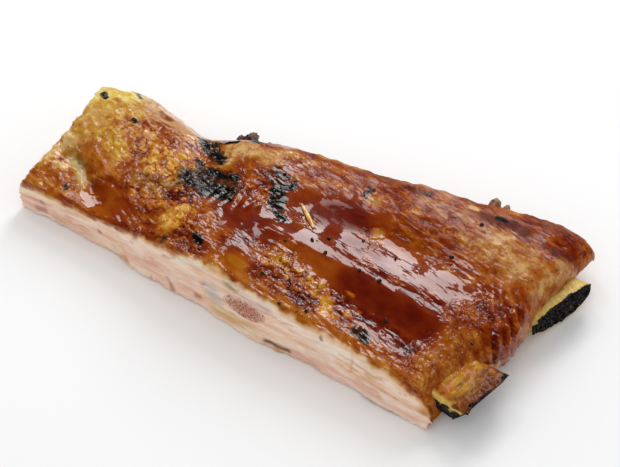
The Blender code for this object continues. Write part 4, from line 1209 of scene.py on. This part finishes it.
        x, z = points[:, 0], points[:, 2]
        below = height_along(self.cut.border, x) + 1.1 * grain.at(points, 4.0) + 0.5 * grain.at(points,
            1.4) - z
        bare = weights[Side.FRONT] * ease(below, -0.5, 0.9)
        face = np.column_stack([x, z]) + 0.5 * np.column_stack([grain.at(points, 2.5),
            grain.at(points + 8.0, 2.5)])
        meat = np.tile(np.array(self.cut.flesh), (len(points), 1))
        for mark in self.cut.marks:
            meat = blend(meat, np.array(mark.flesh), cover(face, mark.strokes, mark.edge)[:, None])
        band = 1.0 - ease(below + 0.4 * grain.at(points, 2.0), 0.4, self.cut.band_depth)
        meat = blend(meat, np.array(self.cut.band), 0.75 * band[:, None])
        flesh = blend(flesh, meat, bare[:, None])

        add_colour(made, "flesh", flesh)
        add_value(made, "glaze", np.clip(glaze, 0.02, 8.0) * (1.0 - bare))
        add_value(made, "char", char)
        add_value(made, "cut", bare)
        add_value(made, "still", still)
        add_value(made, "gel", cover(shaken, self.surface.shards, 0.5) * (1.0 - bare) * weights[Side.TOP])
        add_value(made, "crinkled", cover(shaken, self.surface.crumpled, 0.5) * (1.0 - bare))
        soaked = cover(shaken, self.pattern.soaked, 0.6) * (1.0 - bare)
        add_value(made, "soaked", soaked)
        dry = cover(shaken, self.pattern.dry, 0.5) * (1.0 - 0.7 * soaked)
        add_value(made, "dry", np.clip(np.maximum.reduce([dry, 0.6 * wall, under]) * (1.0 - bare), 0.0, 1.0))


# ---------------------------------------------------------------------------------------------------------
# The ribs
# ---------------------------------------------------------------------------------------------------------


@dataclass
class Rib:
    """One rib: a squarish oval rod along a path, cut flat at both its ends."""

    name: str
    node: str
    stations: Knots  # x, y, z of the middle, half width, half thickness and lean, from the right end
    right_cut: tuple[tuple[float, float, float], tuple[float, float, float]]
    left_cut: tuple[tuple[float, float, float], tuple[float, float, float]]
    flesh: Colour
    right_char: float  # how burnt the right end's face is, from 0 to 1
    left_sponge: float  # how far the left end's face shows the bone's spongy inside
    finish: BoneFinish
    amber: Colour = paint(164, 76, 6)
    amber_shift: float = 0.0
    crust: Colour = paint(84, 24, 12)
    pale: Colour = paint(226, 196, 104)
    crust_share: float = 0.0
    top_lean: float = 0.25
    upper_power: float = 4.2
    lower_power: float = 1.8
    around: int = 72
    lengths: int = 140
    rings: int = 12
    seed: int = 23

    def rod(self, share: np.ndarray, angle: np.ndarray) -> np.ndarray:
        """Points of the uncut rod at shares of its path and angles round it."""
        path = smooth_curve(self.stations, share)
        step = 1e-3
        ahead = smooth_curve(self.stations, share + step)[..., :2] - smooth_curve(self.stations,
            share - step)[..., :2]
        ahead /= np.linalg.norm(ahead, axis=-1, keepdims=True)
        power = 2.0 / np.where(np.sin(angle) > 0.0, self.upper_power, self.lower_power)
        side = np.sign(np.cos(angle)) * np.abs(np.cos(angle)) ** power * path[..., 3]
        rise = np.sign(np.sin(angle)) * np.abs(np.sin(angle)) ** power * path[..., 4]
        rise = rise * (1.0 + path[..., 5] * np.cos(angle) * np.where(np.sin(angle) > 0.0, self.top_lean, 1.0))
        x = path[..., 0] + ahead[..., 1] * side
        y = path[..., 1] - ahead[..., 0] * side
        return np.stack([x, y, path[..., 2] + rise], axis=-1)

    def share_at(self, cut: tuple, angle: np.ndarray) -> np.ndarray:
        """Where along the path each lengthwise line meets a cut."""
        point, waste = np.array(cut[0]), np.array(cut[1])
        fine = np.linspace(0.0, 1.0, 600)
        found = []
        for one in angle:
            out = (self.rod(fine, np.full(len(fine), one)) - point) @ waste
            flip = int(np.nonzero(np.diff(np.sign(out)))[0][0])
            found.append(fine[flip] + (fine[flip + 1] - fine[flip]) * out[flip] / (out[flip] - out[flip + 1]))
        return np.array(found)

    def build(self) -> bpy.types.Object:
        """Builds the rib between its cuts, closes its ends and dresses it."""
        angle = np.linspace(0.0, 2.0 * math.pi, self.around, endpoint=False) + 1e-3
        start, end = self.share_at(self.right_cut, angle), self.share_at(self.left_cut, angle)
        t = np.linspace(0.0, 1.0, self.lengths + 1)
        t = t - 0.75 * np.sin(2.0 * math.pi * t) / (2.0 * math.pi)
        share = start[None, :] + t[:, None] * (end - start)[None, :]
        tube = self.rod(share, np.broadcast_to(angle, share.shape))
        layers = [self.cap(tube[0])[::-1], tube, self.cap(tube[-1])]
        rows = np.concatenate([layer.reshape(-1, self.around, 3) for layer in layers])
        points = rows.reshape(-1, 3)
        poles = np.array([tube[0].mean(axis=0), tube[-1].mean(axis=0)])
        count = len(rows)
        ring = np.arange(self.around)
        after = (ring + 1) % self.around
        faces = []
        for row in range(count - 1):
            a, b = row * self.around, (row + 1) * self.around
            faces += np.column_stack([a + ring, b + ring, b + after, a + after]).tolist()
        first, last = len(points), len(points) + 1
        faces += [(int(i), int(j), first) for i, j in zip(ring, after)]
        base = (count - 1) * self.around
        faces += [(base + int(j), base + int(i), last) for i, j in zip(ring, after)]
        points = np.concatenate([points, poles])
        made = make_mesh(self.name, points, faces)
        self.roughen(made, points)
        made.data.materials.append(self.finish.material())
        declare(made, Slot.BONE, self.node)
        return made

    def cap(self, rim: np.ndarray) -> np.ndarray:
        """Rings that shrink from a cut's rim towards its middle, the rim itself left out."""
        middle = rim.mean(axis=0)
        scale = np.linspace(1.0, 0.0, self.rings + 2)[1:-1]
        return middle + (rim - middle)[None] * scale[:, None, None]

    def roughen(self, made: bpy.types.Object, points: np.ndarray) -> None:
        """Gives the bone its uneven skin and its broken ends, and fills the layers that its finish reads."""
        grain = Grain(self.seed)
        right, left = ((points - np.array(cut[0])) @ np.array(cut[1]) for cut in (self.right_cut,
            self.left_cut))
        at_right, at_left = 1.0 - ease(-right, 0.02, 0.25), 1.0 - ease(-left, 0.02, 0.25)
        normals = normals_of(made)
        skin = 0.1 * grain.rough(points, 3.0) + 0.08 * grain.at(turned(points, 8.0), (5.0, 0.8, 0.8))
        pores = -0.5 * grain.ridges(points, 1.3) + 0.3 * grain.rough(points, 2.2)
        rise = skin + at_right * (pores - 0.1) * (0.3 + self.right_char) + at_left * 0.3 * pores * self.left_sponge
        broken = at_right * (1.0 * grain.rough(points, 2.2) - 0.4)
        ragged = broken[:, None] * np.array(self.right_cut[1])
        middle = points[np.abs(left) < 0.05].mean(axis=0)
        inwards = np.linalg.norm((points - middle)[:, [0, 2]] / np.array([7.8, 3.6]), axis=1)
        worn = self.left_sponge * at_left
        behind = self.left_sponge * (1.0 - ease(-left, 0.2, 3.0)) * ease(inwards, 0.75, 1.1)
        sunk = (0.65 * behind)[:, None] * np.array(self.left_cut[1])
        chipped = (1.0 - ease(-right, 0.3, 1.6)) * ease(0.4 - normals[:, 2], 0.0,
            0.4) * grain.rough(points + 3.0, 1.7)
        rise += 0.8 * chipped
        set_points(made, points + normals * rise[:, None] + ragged - sunk)
        wander = 0.7 * grain.rough(points, 2.2)
        near_right = 1.0 - ease(-right + wander, 0.1, 0.9)
        beneath = ease(-right, 12.0, 9.0) * ease(0.25 - normals[:, 2] + 0.3 * wander, 0.0, 0.3)
        char = np.clip(np.maximum(near_right, self.crust_share * beneath) * self.right_char, 0.0, 1.0)
        flesh = np.tile(np.array(self.flesh), (len(points), 1))
        amber = ease(grain.rough(points + 5.0, 3.4) + self.amber_shift, -0.1, 0.35)
        flesh = blend(flesh, np.array(self.amber), 0.85 * amber[:, None])
        flank = ease(-normals[:, 1], 0.05, 0.5) * (1.0 - ease(-right, 10.0, 12.0))
        flesh = blend(flesh, np.array(self.pale), 0.85 * (self.crust_share * flank)[:, None])
        spots = self.crust_share * ease(grain.rough(points + 11.0, 2.3), 0.12, 0.34) * ease(normals[:, 2],
            0.1, 0.6)
        flesh = blend(flesh, np.array(self.crust), 0.8 * spots[:, None])
        crusty = (1.0 - ease(-right + 4.0 * wander, 2.0, 5.5)) * self.crust_share * ease(normals[:, 2], 0.2,
            0.8)
        flesh = blend(flesh, np.array(self.crust), 0.9 * crusty[:, None])
        add_colour(made, "flesh", flesh)
        add_value(made, "char", char)
        add_value(made, "sponge", worn * (0.15 + 0.85 * (1.0 - ease(inwards + 0.3 * wander, 0.4, 1.15))))


# ---------------------------------------------------------------------------------------------------------
# What sticks to it
# ---------------------------------------------------------------------------------------------------------


@dataclass
class Sprinkle:
    """Grains set on a list of places by Geometry Nodes, each turned and sized its own way."""

    name: str
    places: np.ndarray  # plan millimetres
    radius: float  # millimetres
    spread: tuple[float, float]  # the smallest and the largest grain, as shares of the radius
    unevenness: float  # how lumpy a grain is, as a share of its radius
    finish: CrumbFinish
    slot: Slot
    seed: int

    def build(self) -> bpy.types.Object:
        """Sets the grains, makes them one plain mesh and dresses it."""
        holder = make_mesh(self.name + "_places", self.places, [])
        material = self.finish.material()
        modifier = holder.modifiers.new("grains", "NODES")
        tree = self.nodes(material)
        modifier.node_group = tree
        sizes = {"Radius": self.radius * MM, "Smallest": self.spread[0], "Largest": self.spread[1],
                 "Unevenness": self.unevenness, "Seed": self.seed}
        for item in tree.interface.items_tree:
            if item.item_type == "SOCKET" and item.in_out == "INPUT" and item.name in sizes:
                modifier[item.identifier] = sizes[item.name]
        graph = bpy.context.evaluated_depsgraph_get()
        mesh = bpy.data.meshes.new_from_object(holder.evaluated_get(graph))
        holder.modifiers.remove(modifier)
        bpy.data.objects.remove(holder)
        made = bpy.data.objects.new(self.name, mesh)
        bpy.context.scene.collection.objects.link(made)
        mesh.shade_smooth()
        declare(made, self.slot)
        return made

    def nodes(self, material: bpy.types.Material) -> bpy.types.NodeTree:
        """Builds the tree that puts a lumpy grain on every place."""
        tree = bpy.data.node_groups.new(self.name, "GeometryNodeTree")
        face = tree.interface
        face.new_socket("Geometry", in_out="INPUT", socket_type="NodeSocketGeometry")
        for name in ("Radius", "Smallest", "Largest", "Unevenness"):
            face.new_socket(name, in_out="INPUT", socket_type="NodeSocketFloat")
        face.new_socket("Seed", in_out="INPUT", socket_type="NodeSocketInt")
        face.new_socket("Geometry", in_out="OUTPUT", socket_type="NodeSocketGeometry")
        nodes, link = tree.nodes, tree.links.new
        given, out = nodes.new("NodeGroupInput"), nodes.new("NodeGroupOutput")

        ball = nodes.new("GeometryNodeMeshIcoSphere")
        ball.inputs["Subdivisions"].default_value = 2
        link(given.outputs["Radius"], ball.inputs["Radius"])
        lumps = nodes.new("ShaderNodeTexNoise")
        position = nodes.new("GeometryNodeInputPosition")
        link(position.outputs[0], lumps.inputs["Vector"])
        lumps.inputs["Scale"].default_value = 0.9 / (self.radius * MM)
        centred = nodes.new("ShaderNodeVectorMath")
        centred.operation = "SUBTRACT"
        link(lumps.outputs["Color"], centred.inputs[0])
        centred.inputs[1].default_value = (0.5, 0.5, 0.5)
        depth = nodes.new("ShaderNodeMath")
        depth.operation = "MULTIPLY"
        link(given.outputs["Radius"], depth.inputs[0])
        link(given.outputs["Unevenness"], depth.inputs[1])
        push = nodes.new("ShaderNodeVectorMath")
        push.operation = "SCALE"
        link(centred.outputs[0], push.inputs[0])
        link(depth.outputs[0], push.inputs["Scale"])
        shaped = nodes.new("GeometryNodeSetPosition")
        link(ball.outputs["Mesh"], shaped.inputs["Geometry"])
        link(push.outputs[0], shaped.inputs["Offset"])

        size = self.random(tree, "FLOAT_VECTOR", given)
        for name, socket in (("Smallest", size.inputs["Min"]), ("Largest", size.inputs["Max"])):
            link(given.outputs[name], socket)
        turn = self.random(tree, "FLOAT_VECTOR", given)
        turn.inputs["Max"].default_value = (2.0 * math.pi,) * 3
        grains = nodes.new("GeometryNodeInstanceOnPoints")
        link(given.outputs["Geometry"], grains.inputs["Points"])
        link(shaped.outputs[0], grains.inputs["Instance"])
        link(turn.outputs[0], grains.inputs["Rotation"])
        link(size.outputs[0], grains.inputs["Scale"])
        real = nodes.new("GeometryNodeRealizeInstances")
        dress = nodes.new("GeometryNodeSetMaterial")
        dress.inputs["Material"].default_value = material
        link(grains.outputs[0], real.inputs[0])
        link(real.outputs[0], dress.inputs["Geometry"])
        link(dress.outputs[0], out.inputs[0])
        return tree

    @staticmethod
    def random(tree: bpy.types.NodeTree, kind: str, given: bpy.types.Node) -> bpy.types.Node:
        """A random value for each place, from the tree's seed."""
        node = tree.nodes.new("FunctionNodeRandomValue")
        node.data_type = kind
        tree.links.new(given.outputs["Seed"], node.inputs["Seed"])
        return node


@dataclass(frozen=True)
class TopSurface:
    """The finished top of the meat, for things to be set on."""

    points: np.ndarray
    normals: np.ndarray

    @classmethod
    def of(cls, made: bpy.types.Object) -> "TopSurface":
        """Reads the upward faces of the finished meat."""
        found = np.zeros(len(made.data.vertices) * 3, np.float32)
        made.data.vertices.foreach_get("co", found)
        points = found.reshape(-1, 3).astype(float) / MM + np.array([*PLAN_CENTRE, 0.0])
        normals = normals_of(made)
        up = normals[:, 2] > 0.25
        return cls(points[up], normals[up])

    def at(self, x: float, y: float, lift: float = 0.0) -> np.ndarray:
        """The surface's point nearest to a plan place, raised along its normal."""
        k = int(np.argmin((self.points[:, 0] - x) ** 2 + (self.points[:, 1] - y) ** 2))
        return self.points[k] + self.normals[k] * lift


def lump(centre: np.ndarray, radii: tuple[float, float, float], grain: Grain, frill: float,
         across: int = 28) -> tuple[np.ndarray, list]:
    """A closed crumb: a ball squashed to radii with grain raised on it.

    Args:
        centre: its middle, in plan millimetres.
        radii: its half sizes.
        grain: the grain to read.
        frill: how far the grain stands out, as a share of the radius.
        across: how many faces go round it.

    Returns:
        Its points and its faces.
    """
    rows = across // 2
    polar = np.linspace(0.0, math.pi, rows + 1)[1:-1]
    around = np.linspace(0.0, 2.0 * math.pi, across, endpoint=False)
    p, a = np.meshgrid(polar, around, indexing="ij")
    ball = np.stack([np.sin(p) * np.cos(a), np.sin(p) * np.sin(a), np.cos(p)], axis=-1).reshape(-1, 3)
    ball = np.concatenate([ball, [[0.0, 0.0, 1.0], [0.0, 0.0, -1.0]]])
    place = ball * np.array(radii) + centre
    swell = 1.0 + frill * (grain.rough(place, 1.6) + 0.5 * grain.at(place, 0.6))
    points = centre + ball * np.array(radii) * swell[:, None]
    ring, after = np.arange(across), (np.arange(across) + 1) % across
    faces = []
    for row in range(len(polar) - 1):
        top, low = row * across, (row + 1) * across
        faces += np.column_stack([top + ring, low + ring, low + after, top + after]).tolist()
    north, south, base = len(points) - 2, len(points) - 1, (len(polar) - 1) * across
    faces += [(north, int(i), int(j)) for i, j in zip(ring, after)]
    faces += [(base + int(j), base + int(i), south) for i, j in zip(ring, after)]
    return points, faces


def joined(parts: list[tuple[np.ndarray, list]]) -> tuple[np.ndarray, list]:
    """Several meshes as one."""
    points, faces, base = [], [], 0
    for some_points, some_faces in parts:
        points.append(some_points)
        faces += [tuple(int(k) + base for k in face) for face in some_faces]
        base += len(some_points)
    return np.concatenate(points), faces


@dataclass
class Crumbs:
    """A handful of crumbs, each a lump at its own place: (x, y, radius, height above the surface)."""

    name: str
    places: tuple[tuple[float, float, float, float], ...]
    finish: CrumbFinish
    frill: float
    seed: int

    def build(self, surface: TopSurface) -> bpy.types.Object:
        """Makes the crumbs one mesh and dresses it."""
        grain = Grain(self.seed)
        parts = []
        for x, y, radius, lift in self.places:
            stretch = 1.0 + 0.3 * math.sin(7.0 * x + 3.0 * y)
            radii = (radius * stretch, radius / stretch, radius * 0.75)
            parts.append(lump(surface.at(x, y, lift), radii, grain, self.frill))
        made = make_mesh(self.name, *joined(parts))
        made.data.materials.append(self.finish.material())
        declare(made, Slot.MEAT)
        return made


@dataclass
class HerbNeedle:
    """A dried herb needle that lies in the glaze."""

    finish: CrumbFinish
    places: Knots = ((76.8, 32.6), (79.5, 30.8), (82.6, 28.6), (85.2, 26.4))
    half_width: float = 0.62
    lift: float = 0.3
    sides: int = 10
    lengths: int = 24

    def build(self, surface: TopSurface) -> bpy.types.Object:
        """Lofts the needle along its places."""
        t = np.linspace(0.0, 1.0, self.lengths)
        line = smooth_curve(self.places, t)
        height = np.array([surface.at(x, y)[2] for x, y in line])
        height = np.poly1d(np.polyfit(t, height, 2))(t) + self.lift
        radius = self.half_width * np.clip(np.sin(math.pi * (0.04 + 0.92 * t)), 0.05, 1.0) ** 0.5
        ahead = np.gradient(line, axis=0)
        ahead /= np.linalg.norm(ahead, axis=1)[:, None]
        angle = np.linspace(0.0, 2.0 * math.pi, self.sides, endpoint=False)
        side = np.cos(angle)[None, :] * radius[:, None]
        rise = 0.6 * np.sin(angle)[None, :] * radius[:, None]
        x = line[:, :1] + ahead[:, 1:] * side
        y = line[:, 1:] - ahead[:, :1] * side
        points = np.stack([x, y, height[:, None] + rise], axis=-1).reshape(-1, 3)
        ring, after = np.arange(self.sides), (np.arange(self.sides) + 1) % self.sides
        faces = []
        for row in range(self.lengths - 1):
            a, b = row * self.sides, (row + 1) * self.sides
            faces += np.column_stack([a + ring, b + ring, b + after, a + after]).tolist()
        faces += [tuple(int(k) for k in ring[::1]),
            tuple(int(k) + (self.lengths - 1) * self.sides for k in ring[::-1])]
        made = make_mesh("herb_needle", points, faces)
        made.data.materials.append(self.finish.material())
        declare(made, Slot.MEAT)
        return made


# ---------------------------------------------------------------------------------------------------------
# The studio
# ---------------------------------------------------------------------------------------------------------


@dataclass
class Studio:
    """A pale table, two soft windows behind the food, soft fill all round, and the camera."""

    camera_at: tuple[float, float, float] = (0.171466, -0.235285, 0.292742)
    camera_to: tuple[float, float, float] = (0.002173, 0.003541, 0.0)
    half_view: float = 11.9  # degrees
    window_way: tuple[float, float] = (17.0, 37.0)  # degrees round from +Y towards -X, and up
    window_away: float = 0.9
    window_size: tuple[float, float] = (0.35, 0.585)
    window_glow: float = 6.2
    side_way: tuple[float, float] = (62.0, 53.0)
    side_size: tuple[float, float] = (0.24, 0.2)
    side_glow: float = 5.0
    fill_glow: float = 0.60
    front_way: tuple[float, float] = (205.0, 50.0)
    front_size: tuple[float, float] = (0.9, 0.7)
    front_away: float = 1.1
    front_glow: float = 0.7
    table_half: float = 3.0

    def build(self) -> None:
        """Sets up the table, the lights and the camera."""
        self.table()
        self.window()
        self.fill()
        self.camera()

    def table(self) -> None:
        """A flat table top under the food."""
        half = self.table_half / MM
        corners = np.array([(-half, -half, 0.0), (half, -half, 0.0), (half, half, 0.0), (-half, half, 0.0)])
        made = make_mesh("table", corners, [(0, 1, 2, 3)])
        made.data.materials.append(TableFinish().material())
        log.info("table: stage")

    def light(self, name: str, way: tuple[float, float], away: float, size: tuple[float, float],
              glow: float) -> bpy.types.Object:
        """An area light that faces the food.

        Args:
            name: its name.
            way: degrees round from +Y towards -X, and degrees up.
            away: metres from the food.
            size: its width and height in metres.
            glow: its brightness, in the same units as the table's.

        Returns:
            The light.
        """
        data = bpy.data.lights.new(name, "AREA")
        data.shape = "RECTANGLE"
        data.size, data.size_y = size
        data.energy = glow * math.pi * size[0] * size[1]
        made = bpy.data.objects.new(name, data)
        about, up = (math.radians(angle) for angle in way)
        from_food = np.array([-math.sin(about) * math.cos(up), math.cos(about) * math.cos(up), math.sin(up)])
        made.location = (from_food * away).tolist()
        made.rotation_euler = made.location.to_track_quat("Z", "Y").to_euler()
        bpy.context.scene.collection.objects.link(made)
        return made

    def window(self) -> None:
        """The soft window whose reflection lies on the glaze, and a smaller one to its left."""
        self.light("window", self.window_way, self.window_away, self.window_size, self.window_glow)
        self.light("side_window", self.side_way, self.window_away, self.side_size, self.side_glow)

    def fill(self) -> None:
        """Even light from all round, and a little more from the front."""
        world = bpy.data.worlds.new("room")
        world.use_nodes = True
        shade = world.node_tree.nodes["Background"]
        shade.inputs["Color"].default_value = (1.0, 1.0, 1.0, 1.0)
        shade.inputs["Strength"].default_value = self.fill_glow
        world.cycles_visibility.glossy = False
        bpy.context.scene.world = world
        front = self.light("front_fill", self.front_way, self.front_away, self.front_size, self.front_glow)
        front.visible_glossy = False

    def camera(self) -> None:
        """The camera."""
        data = bpy.data.cameras.new("camera")
        data.sensor_width = 36.0
        data.lens = data.sensor_width / 2.0 / math.tan(math.radians(self.half_view))
        made = bpy.data.objects.new("camera", data)
        made.location = self.camera_at
        towards = made.location - type(made.location)(self.camera_to)
        made.rotation_euler = towards.to_track_quat("Z", "Y").to_euler()
        bpy.context.scene.collection.objects.link(made)
        bpy.context.scene.camera = made
        bpy.context.scene.view_settings.view_transform = "Standard"


# ---------------------------------------------------------------------------------------------------------
# The whole portion
# ---------------------------------------------------------------------------------------------------------


PEPPER = CrumbFinish("pepper", paint(70, 52, 40), paint(24, 18, 15), 0.5, 0.55, 0.3)
BURNT = CrumbFinish("burnt_crumb", paint(120, 78, 52), paint(40, 26, 20), 0.9, 0.6, 0.3)
BROWN = CrumbFinish("brown_crumb", paint(172, 128, 84), paint(116, 74, 44), 0.9, 0.6, 0.2)
HERB = CrumbFinish("herb", paint(240, 190, 80), paint(206, 146, 42), 1.0, 0.35, 0.8)

PEPPER_PLACES = (
    (138.3, 20.2), (108.6, 30.3), (98.5, 30.2), (104.0, 20.2), (110.0, 20.7), (82.5, 17.3), (88.0, 22.0),
    (91.0, 25.0), (93.3, 20.0), (83.8, 5.8), (147.5, 9.6), (121.0, 53.2), (60.5, 7.0), (64.5, 3.4),
    (47.5, 50.5), (67.0, 38.6), (99.5, 3.0), (92.5, 0.9), (117.5, 12.2), (120.5, 39.0),
)

FAR_RIB = dict(
    name="far_rib_bone", node="rib_far",
    stations=(
        (158.0, 49.1, 6.0, 10.9, 4.2, 0.6), (140.0, 47.8, 5.7, 10.3, 4.1, 0.2),
        (115.0, 45.2, 5.5, 9.2, 4.0, 0.0),
        (75.0, 40.0, 5.2, 8.0, 3.9, 0.0), (34.0, 34.4, 4.8, 7.2, 3.5, 0.0), (-12.0, 25.6, 4.4, 5.0, 3.0, 0.0),
    ),
    right_cut=((149.4, 48.0, 5.0), (0.973, -0.232, 0.0)), left_cut=((-2.4, 26.8, 5.0), (-0.97, 0.20, 0.0)),
    flesh=paint(214, 188, 104), right_char=1.0, left_sponge=0.3, amber_shift=-0.5,
)
NEAR_RIB = dict(
    name="near_rib_bone", node="rib_near",
    stations=(
        (158.0, 10.8, 5.5, 9.2, 4.0, 0.0), (143.0, 10.9, 5.6, 8.5, 4.0, 0.0),
        (126.0, 11.2, 5.8, 6.9, 3.9, 0.0),
        (107.0, 9.2, 6.7, 5.4, 3.9, 0.0), (94.0, 4.8, 7.6, 4.5, 3.8, 0.0), (81.5, -1.4, 8.2, 4.2, 3.8, 0.0),
        (71.0, -7.6, 8.4, 4.2, 3.8, 0.0),
    ),
    right_cut=((149.0, 10.0, 9.5), (0.80, -0.12, -0.59)), left_cut=((82.0, -1.05, 8.0), (0.0, -1.0, 0.1)),
    flesh=paint(206, 158, 40), right_char=1.0, left_sponge=1.0, amber_shift=0.25, crust_share=1.0,
    upper_power=9.0,
)


def main() -> None:
    """Builds the studio and every piece of the portion, in order."""
    logging.basicConfig(level=logging.INFO, format="%(name)s: %(message)s")
    Studio().build()
    meat = GlazedMeat(SlabForm(), GlazePattern(), SurfaceRelief(), CutFace(), GlazedMeatFinish()).build()
    bone = BoneFinish()
    Rib(**FAR_RIB, finish=bone).build()
    Rib(**NEAR_RIB, finish=bone, seed=31).build()
    surface = TopSurface.of(meat)
    pepper = np.array([surface.at(x, y, 0.15) for x, y in PEPPER_PLACES])
    Sprinkle("pepper", pepper, 0.55, (0.6, 1.25), 0.9, PEPPER, Slot.MEAT, 5).build()
    Crumbs("burnt_crumbs", ((46.6, 49.6, 2.2, 1.0), (43.6, 48.4, 1.5, 0.9), (49.6, 51.0, 1.3, 0.9), (52.0,
        51.6, 0.9, 0.6)), BURNT, 0.35,
           3).build(surface)
    Crumbs("brown_crumbs", ((118.0, 65.9, 1.9, 1.0), (121.0, 67.0, 1.4, 0.9)), BROWN, 0.25, 4).build(surface)
    HerbNeedle(HERB).build(surface)


if __name__ == "__main__":
    main()
